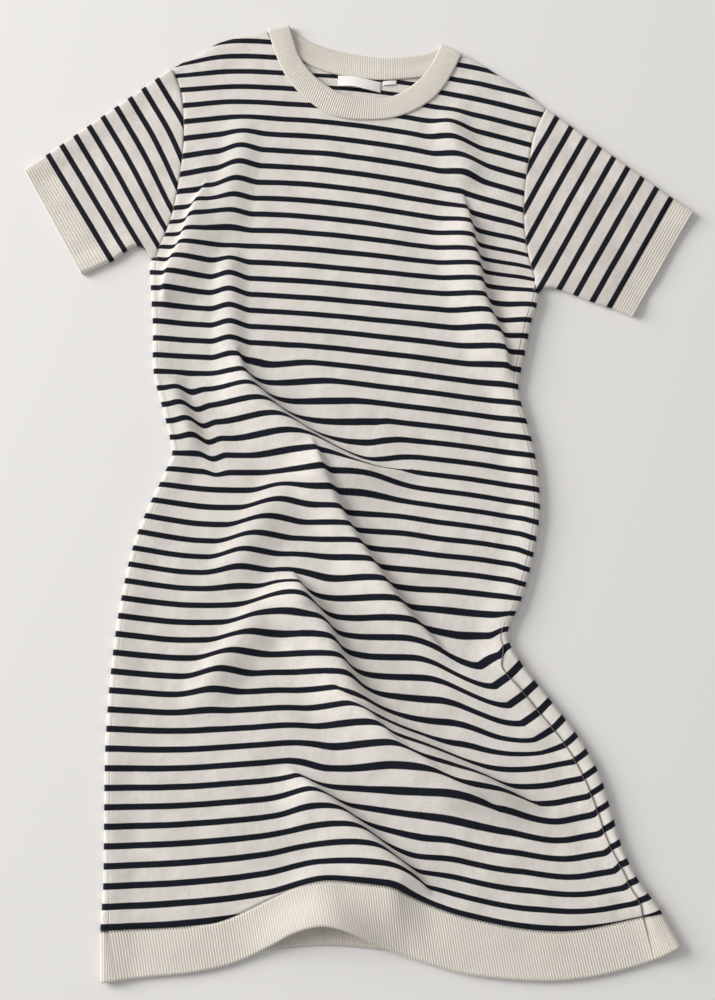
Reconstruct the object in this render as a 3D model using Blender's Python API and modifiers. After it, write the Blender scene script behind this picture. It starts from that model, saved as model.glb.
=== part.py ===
"""A striped knit midi dress, laid flat on a surface with its front up.

Lengths are in millimetres until a mesh is made, +X runs to the right as the laid dress is seen from
above, +Y to its neck and +Z up. The cloth lies on z = 0 and the box around it is centred on the origin.
Left and right are as seen from above, not the wearer's.
"""

import bmesh
import bpy
import numpy as np

# Cloth
CLOTH = 1.6  # fine jersey with its loft
RIB = 2.0  # doubled rib at the collar, cuffs and hem
SEAM_GAP = 0.3
PLATEAU = 5.2  # the front's outer face where it lies over the back
LOWEST_FRONT = 3.8

# Rolled edges of the laid tube
EDGE_RADIUS = 6.0
EDGE_MIDDLE = 4.6
ROLL_LEFT, ROLL_RIGHT = 8.5, 11.0
ROLL_FADE = 36.0
SHOULDER_FALL = 5.0  # how far from the shoulder seam the front starts to come down to the back
SHOULDER_TOP = 3.7

# Stripes are courses of the knit, numbered down from the neck, about 21 mm apart.
# Each row gives how high up the dress that course lies at eight shares of the width.
SHARES = (0.0, 0.15, 0.30, 0.40, 0.50, 0.65, 0.82, 1.0)
COURSES = (
    # course, left edge ... right edge
    (-1.0, (600, 606, 604, 600, 593, 583, 568, 547)),
    (1.0, (558, 564, 562, 558, 551, 541, 526, 505)),
    (6.0, (456, 462, 459, 456, 451, 441, 425, 404)),
    (11.0, (342, 353, 354, 351, 346, 336, 322, 298)),
    (16.0, (258, 253, 250, 247, 243, 236, 228, 215)),
    (21.0, (153, 150, 148, 145, 141, 133, 123, 112)),
    (26.0, (50, 49, 48, 43, 36, 27, 18, 5)),
    (31.0, (-46, -56, -56, -54, -58, -66, -79, -94)),
    (36.0, (-145, -153, -153, -150, -154, -167, -178, -182)),
    (41.0, (-254, -259, -256, -254, -259, -272, -286, -278)),
    (46.0, (-367, -366, -360, -355, -361, -380, -397, -380)),
    (50.0, (-456, -452, -443, -432, -437, -467, -484, -468)),
    (53.2, (-529, -524, -510, -490, -503, -535, -550, -526)),
)
LAST_LEFT, LAST_RIGHT = 53.17, 52.17  # the hem seam runs across one stripe near the middle
BACK_BOW = 34.0  # the back lies straighter across than the front

# Outlines, as (height up the dress, place across it)
LEFT_EDGE = (
    (-586, -295), (-545, -297), (-478, -295), (-412, -296), (-322, -297), (-233, -293), (-146, -283),
    (-65, -265), (-30, -251), (8, -234), (28, -226), (49, -229), (87, -239), (128, -250), (191, -253),
    (245, -257), (271, -258), (298, -245), (322, -236), (377, -225), (430, -220), (470, -221),
    (498, -225), (528, -237), (600, -250),
)
RIGHT_EDGE = (
    (-586, 372), (-545, 371), (-528, 361), (-502, 346), (-475, 326), (-439, 308), (-395, 295),
    (-349, 281), (-309, 259), (-261, 223), (-222, 193), (-193, 178), (-149, 194), (-114, 205),
    (-79, 213), (-41, 219), (-18, 219), (25, 215), (71, 205), (109, 196), (152, 204), (194, 213),
    (236, 223), (251, 219), (269, 214), (317, 207), (363, 208), (409, 215), (446, 224), (473, 237),
    (600, 260),
)
ARMPIT_LEFT, ARMPIT_RIGHT = 272.9, 233.2
ARMPIT_SHARE = 0.25  # both armpits lie this share of the way from the shoulders to the hem seam
ARMPIT_BLEND = 14.0

# Side seams, as (course, distance in from the outline)
SEAM_LEFT = ((12.0, 7), (50.0, 7), (53.2, 10))
SEAM_RIGHT = ((12.0, 7), (35.5, 7), (37.0, 10), (38.5, 27), (40.0, 24), (44.0, 20), (47.0, 16), (49.5, 12),
              (51.0, 15), (52.5, 24))
HEM_SEAM_LEFT, HEM_SEAM_RIGHT = 18, 32

# Edges of the pieces at the top, and of the hem, as (place across, height up)
SHOULDER_LEFT = ((-237, 527), (-206, 547), (-177, 563), (-151, 571), (-119.5, 580.7))
SHOULDER_RIGHT = ((135.5, 546), (160, 531), (182, 516), (202, 503), (219, 490), (237, 473))
HEM_EDGE = ((-295, -586), (-246, -580), (-174, -572), (-139, -563), (-103, -546), (-70, -528), (-38, -521),
            (-6, -530), (18, -542), (74, -563), (122, -576), (171, -582), (220, -584), (257, -581),
            (294, -574), (343, -559), (371, -545))
BACK_HEM = ((-295, -585), (-174, -562), (-107, -551), (-43, -545), (37, -551), (122, -564), (220, -571),
            (300, -566), (371, -545))

# The collar, as the seam edge and the free edge across the rib, from the left shoulder fold round
COLLAR_FRONT = (
    # seam x, seam y, free x, free y
    (-116, 582, -88, 586), (-107, 552, -82, 564), (-92, 517, -75, 543), (-66, 486, -54, 515),
    (-30, 463, -20, 492), (10, 458, 12, 486), (55, 464, 45, 490), (95, 487, 74, 509),
    (120, 522, 94, 535), (132, 548, 106, 561),
)
COLLAR_BACK = (
    (132, 548, 106, 561), (112, 530, 96, 553), (90, 519, 84, 548), (63, 515, 62, 545),
    (30, 513, 30, 543), (-5, 516, -4, 548), (-43, 525, -36, 555), (-73, 540, -64, 566),
    (-99, 562, -82, 579), (-116, 582, -88, 586),
)
UNDER_COLLAR = 0.1  # share of the rib's width that lies over the panel's edge

# Sharp folds. Cloth left of the path's direction is the low, steep side.
SHARP_FOLDS = (
    # path, height, gentle width, hidden cloth, steep width, taper in, taper out, reach
    (((-150, 164), (-140, 140), (-110, 102), (-71, 68), (-20, 35), (8, 19), (36, 12), (80, 10)),
     13, 42, 22, 4, 50, 90, 70),
    (((-66, 44), (-45, 6), (-25, -27), (-3, -65), (34, -122), (60, -158), (96, -200), (124, -228)),
     13, 40, 20, 4, 50, 110, 60),
    (((-82, -108), (-65, -131), (-35, -174), (-10, -226), (16, -261), (47, -291), (84, -314), (114, -332),
      (160, -359), (200, -382), (236, -402)), 17, 46, 26, 4, 50, 120, 70),
    (((-52, -236), (-23, -267), (7, -291), (37, -320), (71, -344), (109, -370), (142, -387), (182, -410)),
     9, 34, 13, 4, 60, 100, 45),
    (((-88, -338), (-58, -357), (-31, -376), (7, -409), (38, -438), (71, -469), (90, -496)),
     14, 48, 20, 4, 50, 60, 60),
    (((128, 372), (140, 330), (151, 273), (160, 223), (177, 179), (189, 131), (200, 104)),
     11, 40, 16, 4, 70, 60, 50),
    (((-246, 196), (-245, 236), (-238, 265), (-223, 300), (-210, 339), (-186, 387)),
     10, 44, 18, 4, 50, 60, 45),
)
SOFT_FOLDS = (
    # path, height, half width, lift up the dress, taper in, taper out
    (((104, 480), (120, 430), (134, 392), (150, 365)), 7, 34, 5, 40, 30),
    (((-160, 300), (-159, 250), (-157, 170)), 6, 26, 5, 40, 30),
    (((-140, 470), (-150, 400), (-160, 330), (-162, 290)), 5, 30, 5, 60, 40),
    (((-212, 135), (-202, 104), (-186, 62), (-174, 20), (-166, -10)), -1.3, 16, -5, 40, 30),
    (((-232, 135), (-222, 90), (-205, 55), (-200, 20)), 5, 22, 4, 40, 40),
    (((-60, 10), (-90, -25), (-115, -60), (-140, -100), (-165, -150)), 7, 40, 9, 50, 60),
    (((-65, -120), (-95, -150), (-130, -190), (-165, -235), (-200, -300)), 8, 36, 8, 40, 80),
)
HEM_ARCH = (-36, 100, 20)  # place across, half width, lift of the front hem
ARCH_REACH = 90

# Sleeves, from the armhole to the cuff seam and the cuff's edge, upper corner first
SLEEVES = {
    # side: cuff seam, cuff edge, rise of the underarm edge, share of the way out at which it is highest
    "left": (((-393, 411), (-309, 272)), ((-418, 393), (-342, 256)), 18, 0.35),
    "right": (((394, 354), (313, 213)), ((418, 338), (338, 202)), 9, 0.22),
}
SLEEVE_PLATEAU = 5.0
SLEEVE_ROLL = 7.5
SLEEVE_RADIUS = 4.0
SLEEVE_MIDDLE = 3.4
SLEEVE_FADE = 28.0

# The collar's heights, and the turn of the rib at the shoulders
COLLAR_TOP = 7.6
COLLAR_BEND = 4.5
COLLAR_MIDDLE = 3.7
COLLAR_LIFT = 1.9  # the back of the rib lies over the back panel's edge

# The blank label and the small tab beside it
LABEL = (1.5, 54.0, 15.0, 3.0)  # place across, width, height, arch
TAB = (40.0, 17.0, 5.5, 1.0)
TAPE = 1.0

# How fine the solids are
BODY_ROWS = 36
BODY_COLUMNS = 20
BACK_COLUMNS = 14
BAND_ROWS = 4
SLEEVE_STATIONS = (0.0, 0.12, 0.3, 0.5, 0.75, 1.0)
CUFF_ROWS = 3
COLLAR_ROWS = 5

CREAM = (0.74, 0.69, 0.61, 1.0)
STRIPED = (0.50, 0.47, 0.42, 1.0)  # two thirds cream and one third navy
WHITE = (0.86, 0.85, 0.83, 1.0)


# Curves through short tables
def spline(xs, ys, x):
    """A smooth curve through a table. ys may hold one column for each point of x."""
    xs = np.asarray(xs, float)
    ys = np.asarray(ys, float)
    x = np.asarray(x, float)
    gaps = np.diff(xs).reshape((-1,) + (1,) * (ys.ndim - 1))
    slopes = np.diff(ys, axis=0) / gaps
    inner = (slopes[:-1] * gaps[1:] + slopes[1:] * gaps[:-1]) / (gaps[:-1] + gaps[1:])
    lean = np.concatenate([slopes[:1], inner, slopes[-1:]])
    k = np.clip(np.searchsorted(xs, x, side="right") - 1, 0, len(xs) - 2)
    gap = xs[k + 1] - xs[k]
    t = np.clip((x - xs[k]) / gap, 0, 1)
    pick = (k,) if ys.ndim == 1 else (k, np.arange(x.size))
    after = (k + 1,) if ys.ndim == 1 else (k + 1, np.arange(x.size))
    return (
        (1 + 2 * t) * (1 - t) ** 2 * ys[pick]
        + t * (1 - t) ** 2 * gap * lean[pick]
        + t * t * (3 - 2 * t) * ys[after]
        - t * t * (1 - t) * gap * lean[after]
    )


def table_curve(table, x):
    return spline([row[0] for row in table], [row[1] for row in table], x)


def table_steps(table, x):
    """Eases from each row's value to the next one's, never past either."""
    xs = np.array([row[0] for row in table], float)
    ys = np.array([row[1] for row in table], float)
    k = np.clip(np.searchsorted(xs, x, side="right") - 1, 0, len(xs) - 2)
    return ys[k] + (ys[k + 1] - ys[k]) * ease((x - xs[k]) / (xs[k + 1] - xs[k]))


def ease(x):
    x = np.clip(x, 0, 1)
    return x * x * (3 - 2 * x)


def round_over(distance, radius):
    """0 at an edge, rising like a quarter circle to 1 at the radius."""
    return np.sqrt(1 - (1 - np.clip(distance / radius, 0, 1)) ** 2)


# The flat dress
def course_height(course, share):
    course, share = np.broadcast_arrays(np.asarray(course, float), np.asarray(share, float))
    flat_course, flat_share = course.ravel(), share.ravel()
    numbers = [row[0] for row in COURSES]
    at = [spline(numbers, [row[1][c] for row in COURSES], flat_course) for c in range(len(SHARES))]
    return spline(SHARES, np.array(at), flat_share).reshape(course.shape)


def side_edges(course):
    left = table_curve(LEFT_EDGE, course_height(course, 0.0))
    right = table_curve(RIGHT_EDGE, course_height(course, 1.0))
    return left, right


def along(path, x, y, step):
    """For each point: the signed distance to a smooth path, the distance run along it, and its normal there."""
    path = np.array(path, float)
    run = np.concatenate([[0], np.cumsum(np.hypot(*np.diff(path, axis=0).T))])
    s = np.linspace(0, run[-1], max(8, int(run[-1] / step)))
    line = np.stack([spline(run, path[:, 0], s), spline(run, path[:, 1], s)], 1)
    ways = np.diff(line, axis=0)
    lengths = np.hypot(ways[:, 0], ways[:, 1])
    points = np.stack([x.ravel(), y.ravel()], 1)
    nearest = np.full(len(points), 1e9)
    found = np.zeros((4, len(points)))
    for i, (way, length) in enumerate(zip(ways, lengths)):
        offset = points - line[i]
        t = np.clip(offset @ way / length**2, 0, 1)
        away = offset - t[:, None] * way
        distance = np.hypot(away[:, 0], away[:, 1])
        side = np.sign(way[0] * offset[:, 1] - way[1] * offset[:, 0])
        values = (side * distance, s[i] + t * (s[i + 1] - s[i]), -way[1] / length, way[0] / length)
        closer = distance < nearest
        nearest[closer] = distance[closer]
        for row, value in zip(found, values):
            row[closer] = np.broadcast_to(value, closer.shape)[closer]
    return (*(row.reshape(x.shape) for row in found), run[-1])


def folded(x, y):
    """How far the folds move the cloth in plan, and how high they lift it."""
    move_x, move_y, lift = np.zeros_like(x), np.zeros_like(x), np.zeros_like(x)
    for path, height, gentle, hidden, steep, taper_in, taper_out, reach in SHARP_FOLDS:
        s, run, nx, ny, length = along(path, x, y, 4.0)
        size = ease(run / taper_in) * ease((length - run) / taper_out)
        half = (hidden + steep) * size / 2 + 1e-6
        fade = 1 - ease((np.abs(s) - half) / reach)
        pull = np.where(np.abs(s) < half, s / half, np.sign(s) * fade) * hidden * size / 2
        move_x -= pull * nx
        move_y -= pull * ny
        slope = np.where(s < -half, 1 - ease((-s - half) / gentle), ease((half - s) / (2 * half)))
        lift += height * size * slope
    for path, height, width, rise, taper_in, taper_out in SOFT_FOLDS:
        s, run, _, _, length = along(path, x, y, 8.0)
        size = ease(run / taper_in) * ease((length - run) / taper_out) * (1 - ease(np.abs(s) / width))
        lift += height * size
        move_y += rise * size
    return move_x, move_y, lift


def arch(x, y):
    """The lift of the front hem where it stands off the back."""
    centre, half_width, rise = HEM_ARCH
    edge = table_curve(HEM_EDGE, x)
    return rise * (1 - ease(np.abs(x - centre) / half_width)) * (1 - ease((y - edge) / ARCH_REACH))


def collar_clear(x, y):
    """0 under the collar, 1 well away from it."""
    s, *_ = along([row[:2] for row in COLLAR_FRONT], x, y, 6.0)
    return ease((np.abs(s) - 6) / 34)


def below_armpit(y, armpit):
    return ease((armpit + ARMPIT_BLEND - y) / ARMPIT_BLEND)


def top_height(x, y, lift, from_left, from_right):
    """The height of the front's outer face, with its edges rolled below the armpits."""
    z = PLATEAU + lift * ease(from_left / 26) * ease(from_right / 26) * collar_clear(x, y) + arch(x, y)
    z = np.maximum(z, LOWEST_FRONT)
    for distance, roll, armpit in ((from_left, ROLL_LEFT, ARMPIT_LEFT), (from_right, ROLL_RIGHT, ARMPIT_RIGHT)):
        below = below_armpit(y, armpit)
        z = z + (roll - PLATEAU) * below * (1 - ease((distance - EDGE_RADIUS) / ROLL_FADE))
        rounded = EDGE_MIDDLE + (z - EDGE_MIDDLE) * round_over(distance, EDGE_RADIUS)
        z = z + (rounded - z) * below
    return z


def under_height(y, from_left, from_right):
    """The height of the back's outer face, flat on the surface and curled up at the rolled edges."""
    z = np.zeros_like(y)
    for distance, armpit in ((from_left, ARMPIT_LEFT), (from_right, ARMPIT_RIGHT)):
        z = z + EDGE_MIDDLE * below_armpit(y, armpit) * (1 - round_over(distance, EDGE_RADIUS))
    return z


def front_surface(course, share):
    """A point of the front's outer face, by its course and its share of the width."""
    course, share = np.broadcast_arrays(np.asarray(course, float), np.asarray(share, float))
    left, right = side_edges(course)
    x = left + (right - left) * share
    y = course_height(course, share)
    from_left, from_right = x - left, right - x
    hold = ease(from_left / 30) * ease(from_right / 30)
    move_x, move_y, lift = folded(x, y)
    z = top_height(x, y, lift, from_left, from_right)
    return np.stack([x + move_x * hold, y + move_y * hold, z], -1)


def back_course_height(course, share):
    """The back's courses run straighter across than the front's."""
    ends = course_height(course, 0.0) * (1 - share) + course_height(course, 1.0) * share
    return ends + BACK_BOW * 4 * share * (1 - share) * ease(course / 30)


def back_surface(course, share):
    """A point of the back's outer face, which lies on the surface."""
    left, right = side_edges(course)
    x = left + (right - left) * share
    y = back_course_height(course, share)
    return np.stack([x, y, under_height(y, x - left, right - x)], -1)


# Where the panels end
def neck_line(rows, share):
    return tuple((a + (c - a) * share, b + (d - b) * share) for a, b, c, d in rows)


def panel_top(rows):
    neck = neck_line(rows, UNDER_COLLAR)
    neck = neck if neck[0][0] < neck[-1][0] else neck[::-1]
    return SHOULDER_LEFT + neck[1:-1] + SHOULDER_RIGHT


FRONT_TOP = panel_top(COLLAR_FRONT)
BACK_TOP = panel_top(COLLAR_BACK)


def first_course(share, top, height_of):
    """The course at which a column of cloth begins, found by halving."""
    low, high = np.full_like(share, -0.9), np.full_like(share, 9.0)
    for _ in range(40):
        middle = (low + high) / 2
        left, right = side_edges(middle)
        x = left + (right - left) * share
        above = height_of(middle, share) > np.interp(x, [p[0] for p in top], [p[1] for p in top])
        low, high = np.where(above, middle, low), np.where(above, high, middle)
    return (low + high) / 2


def share_of_place(x, top, height_of):
    """The share of the width at which the top edge passes a place across."""
    low, high = 0.0, 1.0
    for _ in range(40):
        middle = (low + high) / 2
        left, right = side_edges(first_course(np.array([middle]), top, height_of))
        if (left + (right - left) * middle)[0] < x:
            low = middle
        else:
            high = middle
    return (low + high) / 2


def last_course(share):
    return LAST_LEFT + (LAST_RIGHT - LAST_LEFT) * ease((share - 0.18) / 0.17)


def last_back_course(share):
    return LAST_LEFT + (LAST_RIGHT - LAST_LEFT) * share


def courses_of(rows, share, top, height_of, last):
    start = first_course(share, top, height_of)
    return start + rows[:, None] * (last(share) - start)


def seam_insets(course):
    """How far in from the outline each side seam runs. Above the armpits there is none."""
    left = table_steps(SEAM_LEFT, course) * below_armpit(course_height(course, 0.0), ARMPIT_LEFT)
    right = table_steps(SEAM_RIGHT, course) * below_armpit(course_height(course, 1.0), ARMPIT_RIGHT)
    return left, right


def body_rows(count):
    """Shares of the way from the top of a column to the hem seam, with one row at the armpits."""
    even = np.linspace(0.022, 1.0, count)
    even = even[np.abs(even - ARMPIT_SHARE) > 0.014]
    rows = np.sort(np.concatenate([[0.0, 0.0015, 0.0045], even, [ARMPIT_SHARE]]))
    return rows, int(np.argmin(np.abs(rows - ARMPIT_SHARE)))


ROWS, ARMPIT_ROW = body_rows(BODY_ROWS)


# Front panel
def front_columns(count):
    corners = [share_of_place(x, FRONT_TOP, course_height) for x in (SHOULDER_LEFT[-1][0], SHOULDER_RIGHT[0][0])]
    even = np.linspace(0.08, 0.92, count)
    even = even[np.abs(even[:, None] - np.array(corners)).min(1) > 0.012]
    return np.sort(np.concatenate([[0.0, 0.015, 0.04], even, corners, [0.96, 0.985, 1.0]]))


def front_grid(rows, columns):
    """The front panel, as rows of points from its top edge to the hem seam."""
    course = courses_of(rows, columns, FRONT_TOP, course_height, last_course)
    left, right = side_edges(course)
    inset_left, inset_right = seam_insets(course)
    first = (inset_left + SEAM_GAP / 2) / (right - left)
    last = 1 - (inset_right + SEAM_GAP / 2) / (right - left)
    points = front_surface(course, first + (last - first) * columns)
    x = points[0, :, 0]
    on_shoulder = (x < SHOULDER_LEFT[-1][0] + 1) | (x > SHOULDER_RIGHT[0][0] - 1)
    down = np.hypot(*(points[:, :, :2] - points[:1, :, :2]).transpose(2, 0, 1))
    fall = (1 - ease(down / SHOULDER_FALL)) * on_shoulder
    points[:, :, 2] -= (points[:, :, 2] - SHOULDER_TOP) * fall
    return points


# Back panel, from the left seam on top, over the left edge, below, and up to the right seam on top
WRAP = (1.0, 0.5, 0.2, 0.0)  # shares of the edge's radius, from the seam out to the edge


def back_columns(count):
    corners = [share_of_place(x, BACK_TOP, back_course_height)
               for x in (SHOULDER_LEFT[-1][0], SHOULDER_RIGHT[0][0])]
    even = np.linspace(0.07, 0.93, count)
    even = even[np.abs(even[:, None] - np.array(corners)).min(1) > 0.014]
    return np.sort(np.concatenate([even, corners]))


def wrap_points(rows, side, on_top, distances):
    """Columns near one edge, on top with the front's cloth or below with the back's."""
    share = np.array([float(side)])
    course = courses_of(rows, share, FRONT_TOP, course_height, last_course)
    left, right = side_edges(course)
    part = distances / (right - left)
    part = 1 - part if side else part
    return front_surface(course, part) if on_top else back_surface(course, part)


def back_grid(rows, columns):
    """The back panel, and how many of its columns lie beyond each edge."""
    sides = []
    for side in (0, 1):
        course = courses_of(rows, np.array([float(side)]), FRONT_TOP, course_height, last_course)
        inset = seam_insets(course)[side]
        beyond = [inset - SEAM_GAP / 2] + [np.full_like(inset, EDGE_RADIUS * part) for part in WRAP[:-1]]
        above = [wrap_points(rows, side, True, np.minimum(d, inset)) for d in beyond]
        at_edge = SEAM_GAP / 2 * (1 - inset / inset.max()).clip(0, 1)
        under = [np.maximum(np.full_like(inset, EDGE_RADIUS * part), at_edge) for part in WRAP[::-1]]
        below = [wrap_points(rows, side, False, d) for d in under]
        sides.append(np.concatenate(above + below, 1))
    course = courses_of(rows, columns, BACK_TOP, back_course_height, last_back_course)
    middle = back_surface(course, np.broadcast_to(columns, course.shape))
    return np.concatenate([sides[0], middle, sides[1][:, ::-1]], 1), len(WRAP)


# Hem band
def band_grid(seam, edge, rows, gap):
    """Cloth between the hem seam's points and the hem's edge, easing from one height to the other."""
    step = edge - seam
    seam = seam + step / np.linalg.norm(step[:, :2], axis=1)[:, None] * gap
    t = np.linspace(0, 1, rows)[:, None, None]
    grid = seam + (edge - seam) * t
    grid[..., 2] = seam[:, 2] + (edge[:, 2] - seam[:, 2]) * ease(t[..., 0])
    return grid


def hem_edge_front(share):
    low, high = HEM_EDGE[0][0], HEM_EDGE[-1][0]
    first, last = HEM_SEAM_LEFT + SEAM_GAP / 2, high - low - HEM_SEAM_RIGHT - SEAM_GAP / 2
    x = low + first + (last - first) * share
    y = table_curve(HEM_EDGE, x)
    return np.stack([x, y, top_height(x, y, np.zeros_like(x), x - low, high - x)], -1)


def hem_edge_back(points, beyond):
    """The back hem's edge, column by column under the points of the hem seam."""
    low, high = HEM_EDGE[0][0], HEM_EDGE[-1][0]
    edge = np.zeros_like(points)
    count = len(points)
    for c in range(count):
        left_side = c < 2 * beyond
        k = c if left_side else count - 1 - c
        inset = HEM_SEAM_LEFT if left_side else HEM_SEAM_RIGHT
        if k < 2 * beyond:
            distances = [inset - SEAM_GAP / 2] + [EDGE_RADIUS * part for part in WRAP[:-1] + WRAP[::-1]]
            distance = distances[k]
            x = low + distance if left_side else high - distance
            table = HEM_EDGE if k < beyond else BACK_HEM
        else:
            x = low + (points[c, 0] - LEFT_BAND) / (RIGHT_BAND - LEFT_BAND) * (high - low)
            table = BACK_HEM
        x, y = np.array([x], float), table_curve(table, np.array([x], float))
        on_top = k < beyond
        z = top_height(x, y, np.zeros(1), x - low, high - x) if on_top else under_height(y, x - low, high - x)
        edge[c] = (x[0], y[0], z[0])
    return edge


LEFT_BAND, RIGHT_BAND = -296.9, 349.6  # where the hem seam meets the outline


# Sleeves
def sleeve_ring(rim, seam, rise, peak, t):
    """One ring of a sleeve. rim holds the armhole's points, then the share of the way down the sleeve's width
    and +1 on top or -1 below."""
    upper, lower = np.array(seam[0], float), np.array(seam[1], float)
    place, down, side = rim[:, :2], rim[:, 2], rim[:, 3]
    at_seam = upper + (lower - upper) * down[:, None]
    sooner = (1 - (1 - t) ** (1 + 14 * ease((down - 0.86) / 0.1)))[:, None]
    fold = place[np.argmax(down)]
    point = fold * (1 - t) + lower * t + (place - fold) * (1 - sooner) + (at_seam - lower) * sooner
    swell = abs(np.sin(np.pi * t ** (np.log(0.5) / np.log(peak)))) ** 1.5
    point[:, 1] += rise * swell * ease((down - 0.45) / 0.55)
    return np.concatenate([point, sleeve_height(down, side, width_at(rim, seam, t))[:, None]], 1)


def width_at(rim, seam, t):
    top = rim[rim[:, 3] > 0]
    armhole = np.hypot(*np.diff(top[:, :2], axis=0).T).sum()
    return armhole * (1 - t) + np.hypot(*(np.array(seam[0]) - np.array(seam[1]))) * t


def sleeve_height(down, side, width):
    from_upper, from_lower = down * width, (1 - down) * width
    nearer = np.minimum(from_upper, from_lower)
    roll = (SLEEVE_ROLL - SLEEVE_PLATEAU) * (1 - ease((nearer - SLEEVE_RADIUS) / SLEEVE_FADE))
    top = SLEEVE_MIDDLE + (SLEEVE_PLATEAU + roll - SLEEVE_MIDDLE) * round_over(nearer, SLEEVE_RADIUS)
    return np.where(side > 0, top, SLEEVE_MIDDLE * (1 - round_over(nearer, SLEEVE_RADIUS)))


def sleeve_rim(front_edge, back_edge, outward):
    """The ring at the armhole: down the front's edge, across the armpit and up the back's edge."""
    away = np.array([SEAM_GAP * outward, 0.0])
    down_front = front_edge[:-1, :2] + away
    corner = front_edge[-1, :2] + np.array([SEAM_GAP * outward, 5 * SEAM_GAP])
    fold = back_edge[-1, :2] + np.array([SEAM_GAP * outward, 3 * SEAM_GAP])
    over = [corner + (fold - corner) * part for part in (0.0, 0.45, 0.8, 1.0)]
    top = np.concatenate([down_front, over])
    along_top = np.concatenate([[0], np.cumsum(np.hypot(*np.diff(top, axis=0).T))])
    up_back = (back_edge[:-1, :2] + away)[::-1]
    last = up_back[0]
    short = [fold + (last - fold) * part for part in (0.06, 0.16, 0.3)]
    below = np.concatenate([short, up_back[:-1]])
    along_below = np.hypot(*(below - top[0]).T) / np.hypot(*(fold - top[0]))
    rim_top = np.concatenate([top, (along_top / along_top[-1])[:, None], np.ones((len(top), 1))], 1)
    rim_below = np.concatenate([below, along_below[:, None].clip(0, 1), -np.ones((len(below), 1))], 1)
    rim = np.concatenate([rim_top, rim_below])
    near_fold = np.maximum((0.03 - rim[:, 2]) / 0.03, (rim[:, 2] - 0.9) / 0.1).clip(0, 1)
    rim[:, 0] += outward * 4 * SEAM_GAP * near_fold
    return rim


def between(seam, edge, share):
    return [tuple(np.array(a) + (np.array(b) - np.array(a)) * share) for a, b in zip(seam, edge)]


# Collar
def collar_strip(rows, stations, count, on_top):
    """Half of the collar, as points across the rib at stations along it."""
    run = np.concatenate([[0], np.cumsum([np.hypot(b[0] - a[0], b[1] - a[1]) for a, b in zip(rows, rows[1:])])])
    inner = [spline(run, [row[k] for row in rows], stations * run[-1]) for k in range(4)]
    across = np.linspace(0, 1, count)[:, None]
    x = inner[0] + (inner[2] - inner[0]) * across
    y = inner[1] + (inner[3] - inner[1]) * across
    reach = np.minimum(stations, 1 - stations) * run[-1]
    turn = round_over(reach, COLLAR_BEND)
    if on_top:
        z = COLLAR_MIDDLE + (COLLAR_TOP - COLLAR_MIDDLE) * turn + 0 * across
    else:
        lying = COLLAR_LIFT * (1 - ease((across - 0.15) / 0.5)) * ease((reach - 1.5) / 6)
        z = COLLAR_MIDDLE + (lying - COLLAR_MIDDLE) * turn
    return np.stack([x, y, z], -1)


# Meshes
def wall_mesh(name, grid, wall, colour, roughness, ring=False, face_kept=None):
    """A sheet through rows of points, given its wall inwards by Solidify. A ring closes on its first column."""
    rows, columns = grid.shape[:2]
    mesh = bpy.data.meshes.new(name)
    build = bmesh.new()
    verts = [build.verts.new(p) for p in (grid / 1000).reshape(-1, 3)]
    for r in range(rows - 1):
        for c in range(columns if ring else columns - 1):
            if face_kept is not None and not face_kept(r, c):
                continue
            d = (c + 1) % columns
            build.faces.new([verts[(r + 1) * columns + c], verts[(r + 1) * columns + d],
                             verts[r * columns + d], verts[r * columns + c]])
    loose = [v for v in build.verts if not v.link_faces]
    bmesh.ops.delete(build, geom=loose, context="VERTS")
    build.to_mesh(mesh)
    build.free()
    material = bpy.data.materials.new(name)
    material.use_nodes = True
    shader = material.node_tree.nodes["Principled BSDF"]
    shader.inputs["Base Color"].default_value = colour
    shader.inputs["Roughness"].default_value = roughness
    mesh.materials.append(material)
    mesh.shade_smooth()
    obj = bpy.data.objects.new(name, mesh)
    collection.objects.link(obj)
    solid = obj.modifiers.new("wall", "SOLIDIFY")
    solid.thickness = wall / 1000
    solid.offset = -1
    return obj


for old in list(bpy.data.objects):
    bpy.data.objects.remove(old)
collection = bpy.data.collections.new("midi_dress")
bpy.context.scene.collection.children.link(collection)

# The body's two panels
COLUMNS_FRONT = front_columns(BODY_COLUMNS)
front = front_grid(ROWS, COLUMNS_FRONT)
wall_mesh("body_front", front, CLOTH, STRIPED, 0.8)

back, beyond = back_grid(ROWS, back_columns(BACK_COLUMNS))
last_column = back.shape[1] - 1


def back_face_kept(r, c):
    """The cloth that goes round the edges begins at the armpits."""
    return beyond <= c < last_column - beyond or r >= ARMPIT_ROW


wall_mesh("body_back", back[:, ::-1], CLOTH, STRIPED, 0.8,
          face_kept=lambda r, c: back_face_kept(r, last_column - 1 - c))

# The hem band
hem_front = hem_edge_front(COLUMNS_FRONT)
wall_mesh("hem_rib_front", band_grid(front[-1], hem_front, BAND_ROWS, SEAM_GAP), RIB, CREAM, 0.85)
hem_back = hem_edge_back(back[-1], beyond)
wall_mesh("hem_rib_back", band_grid(back[-1], hem_back, BAND_ROWS, 2.5 * SEAM_GAP)[:, ::-1], RIB, CREAM, 0.85)

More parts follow.
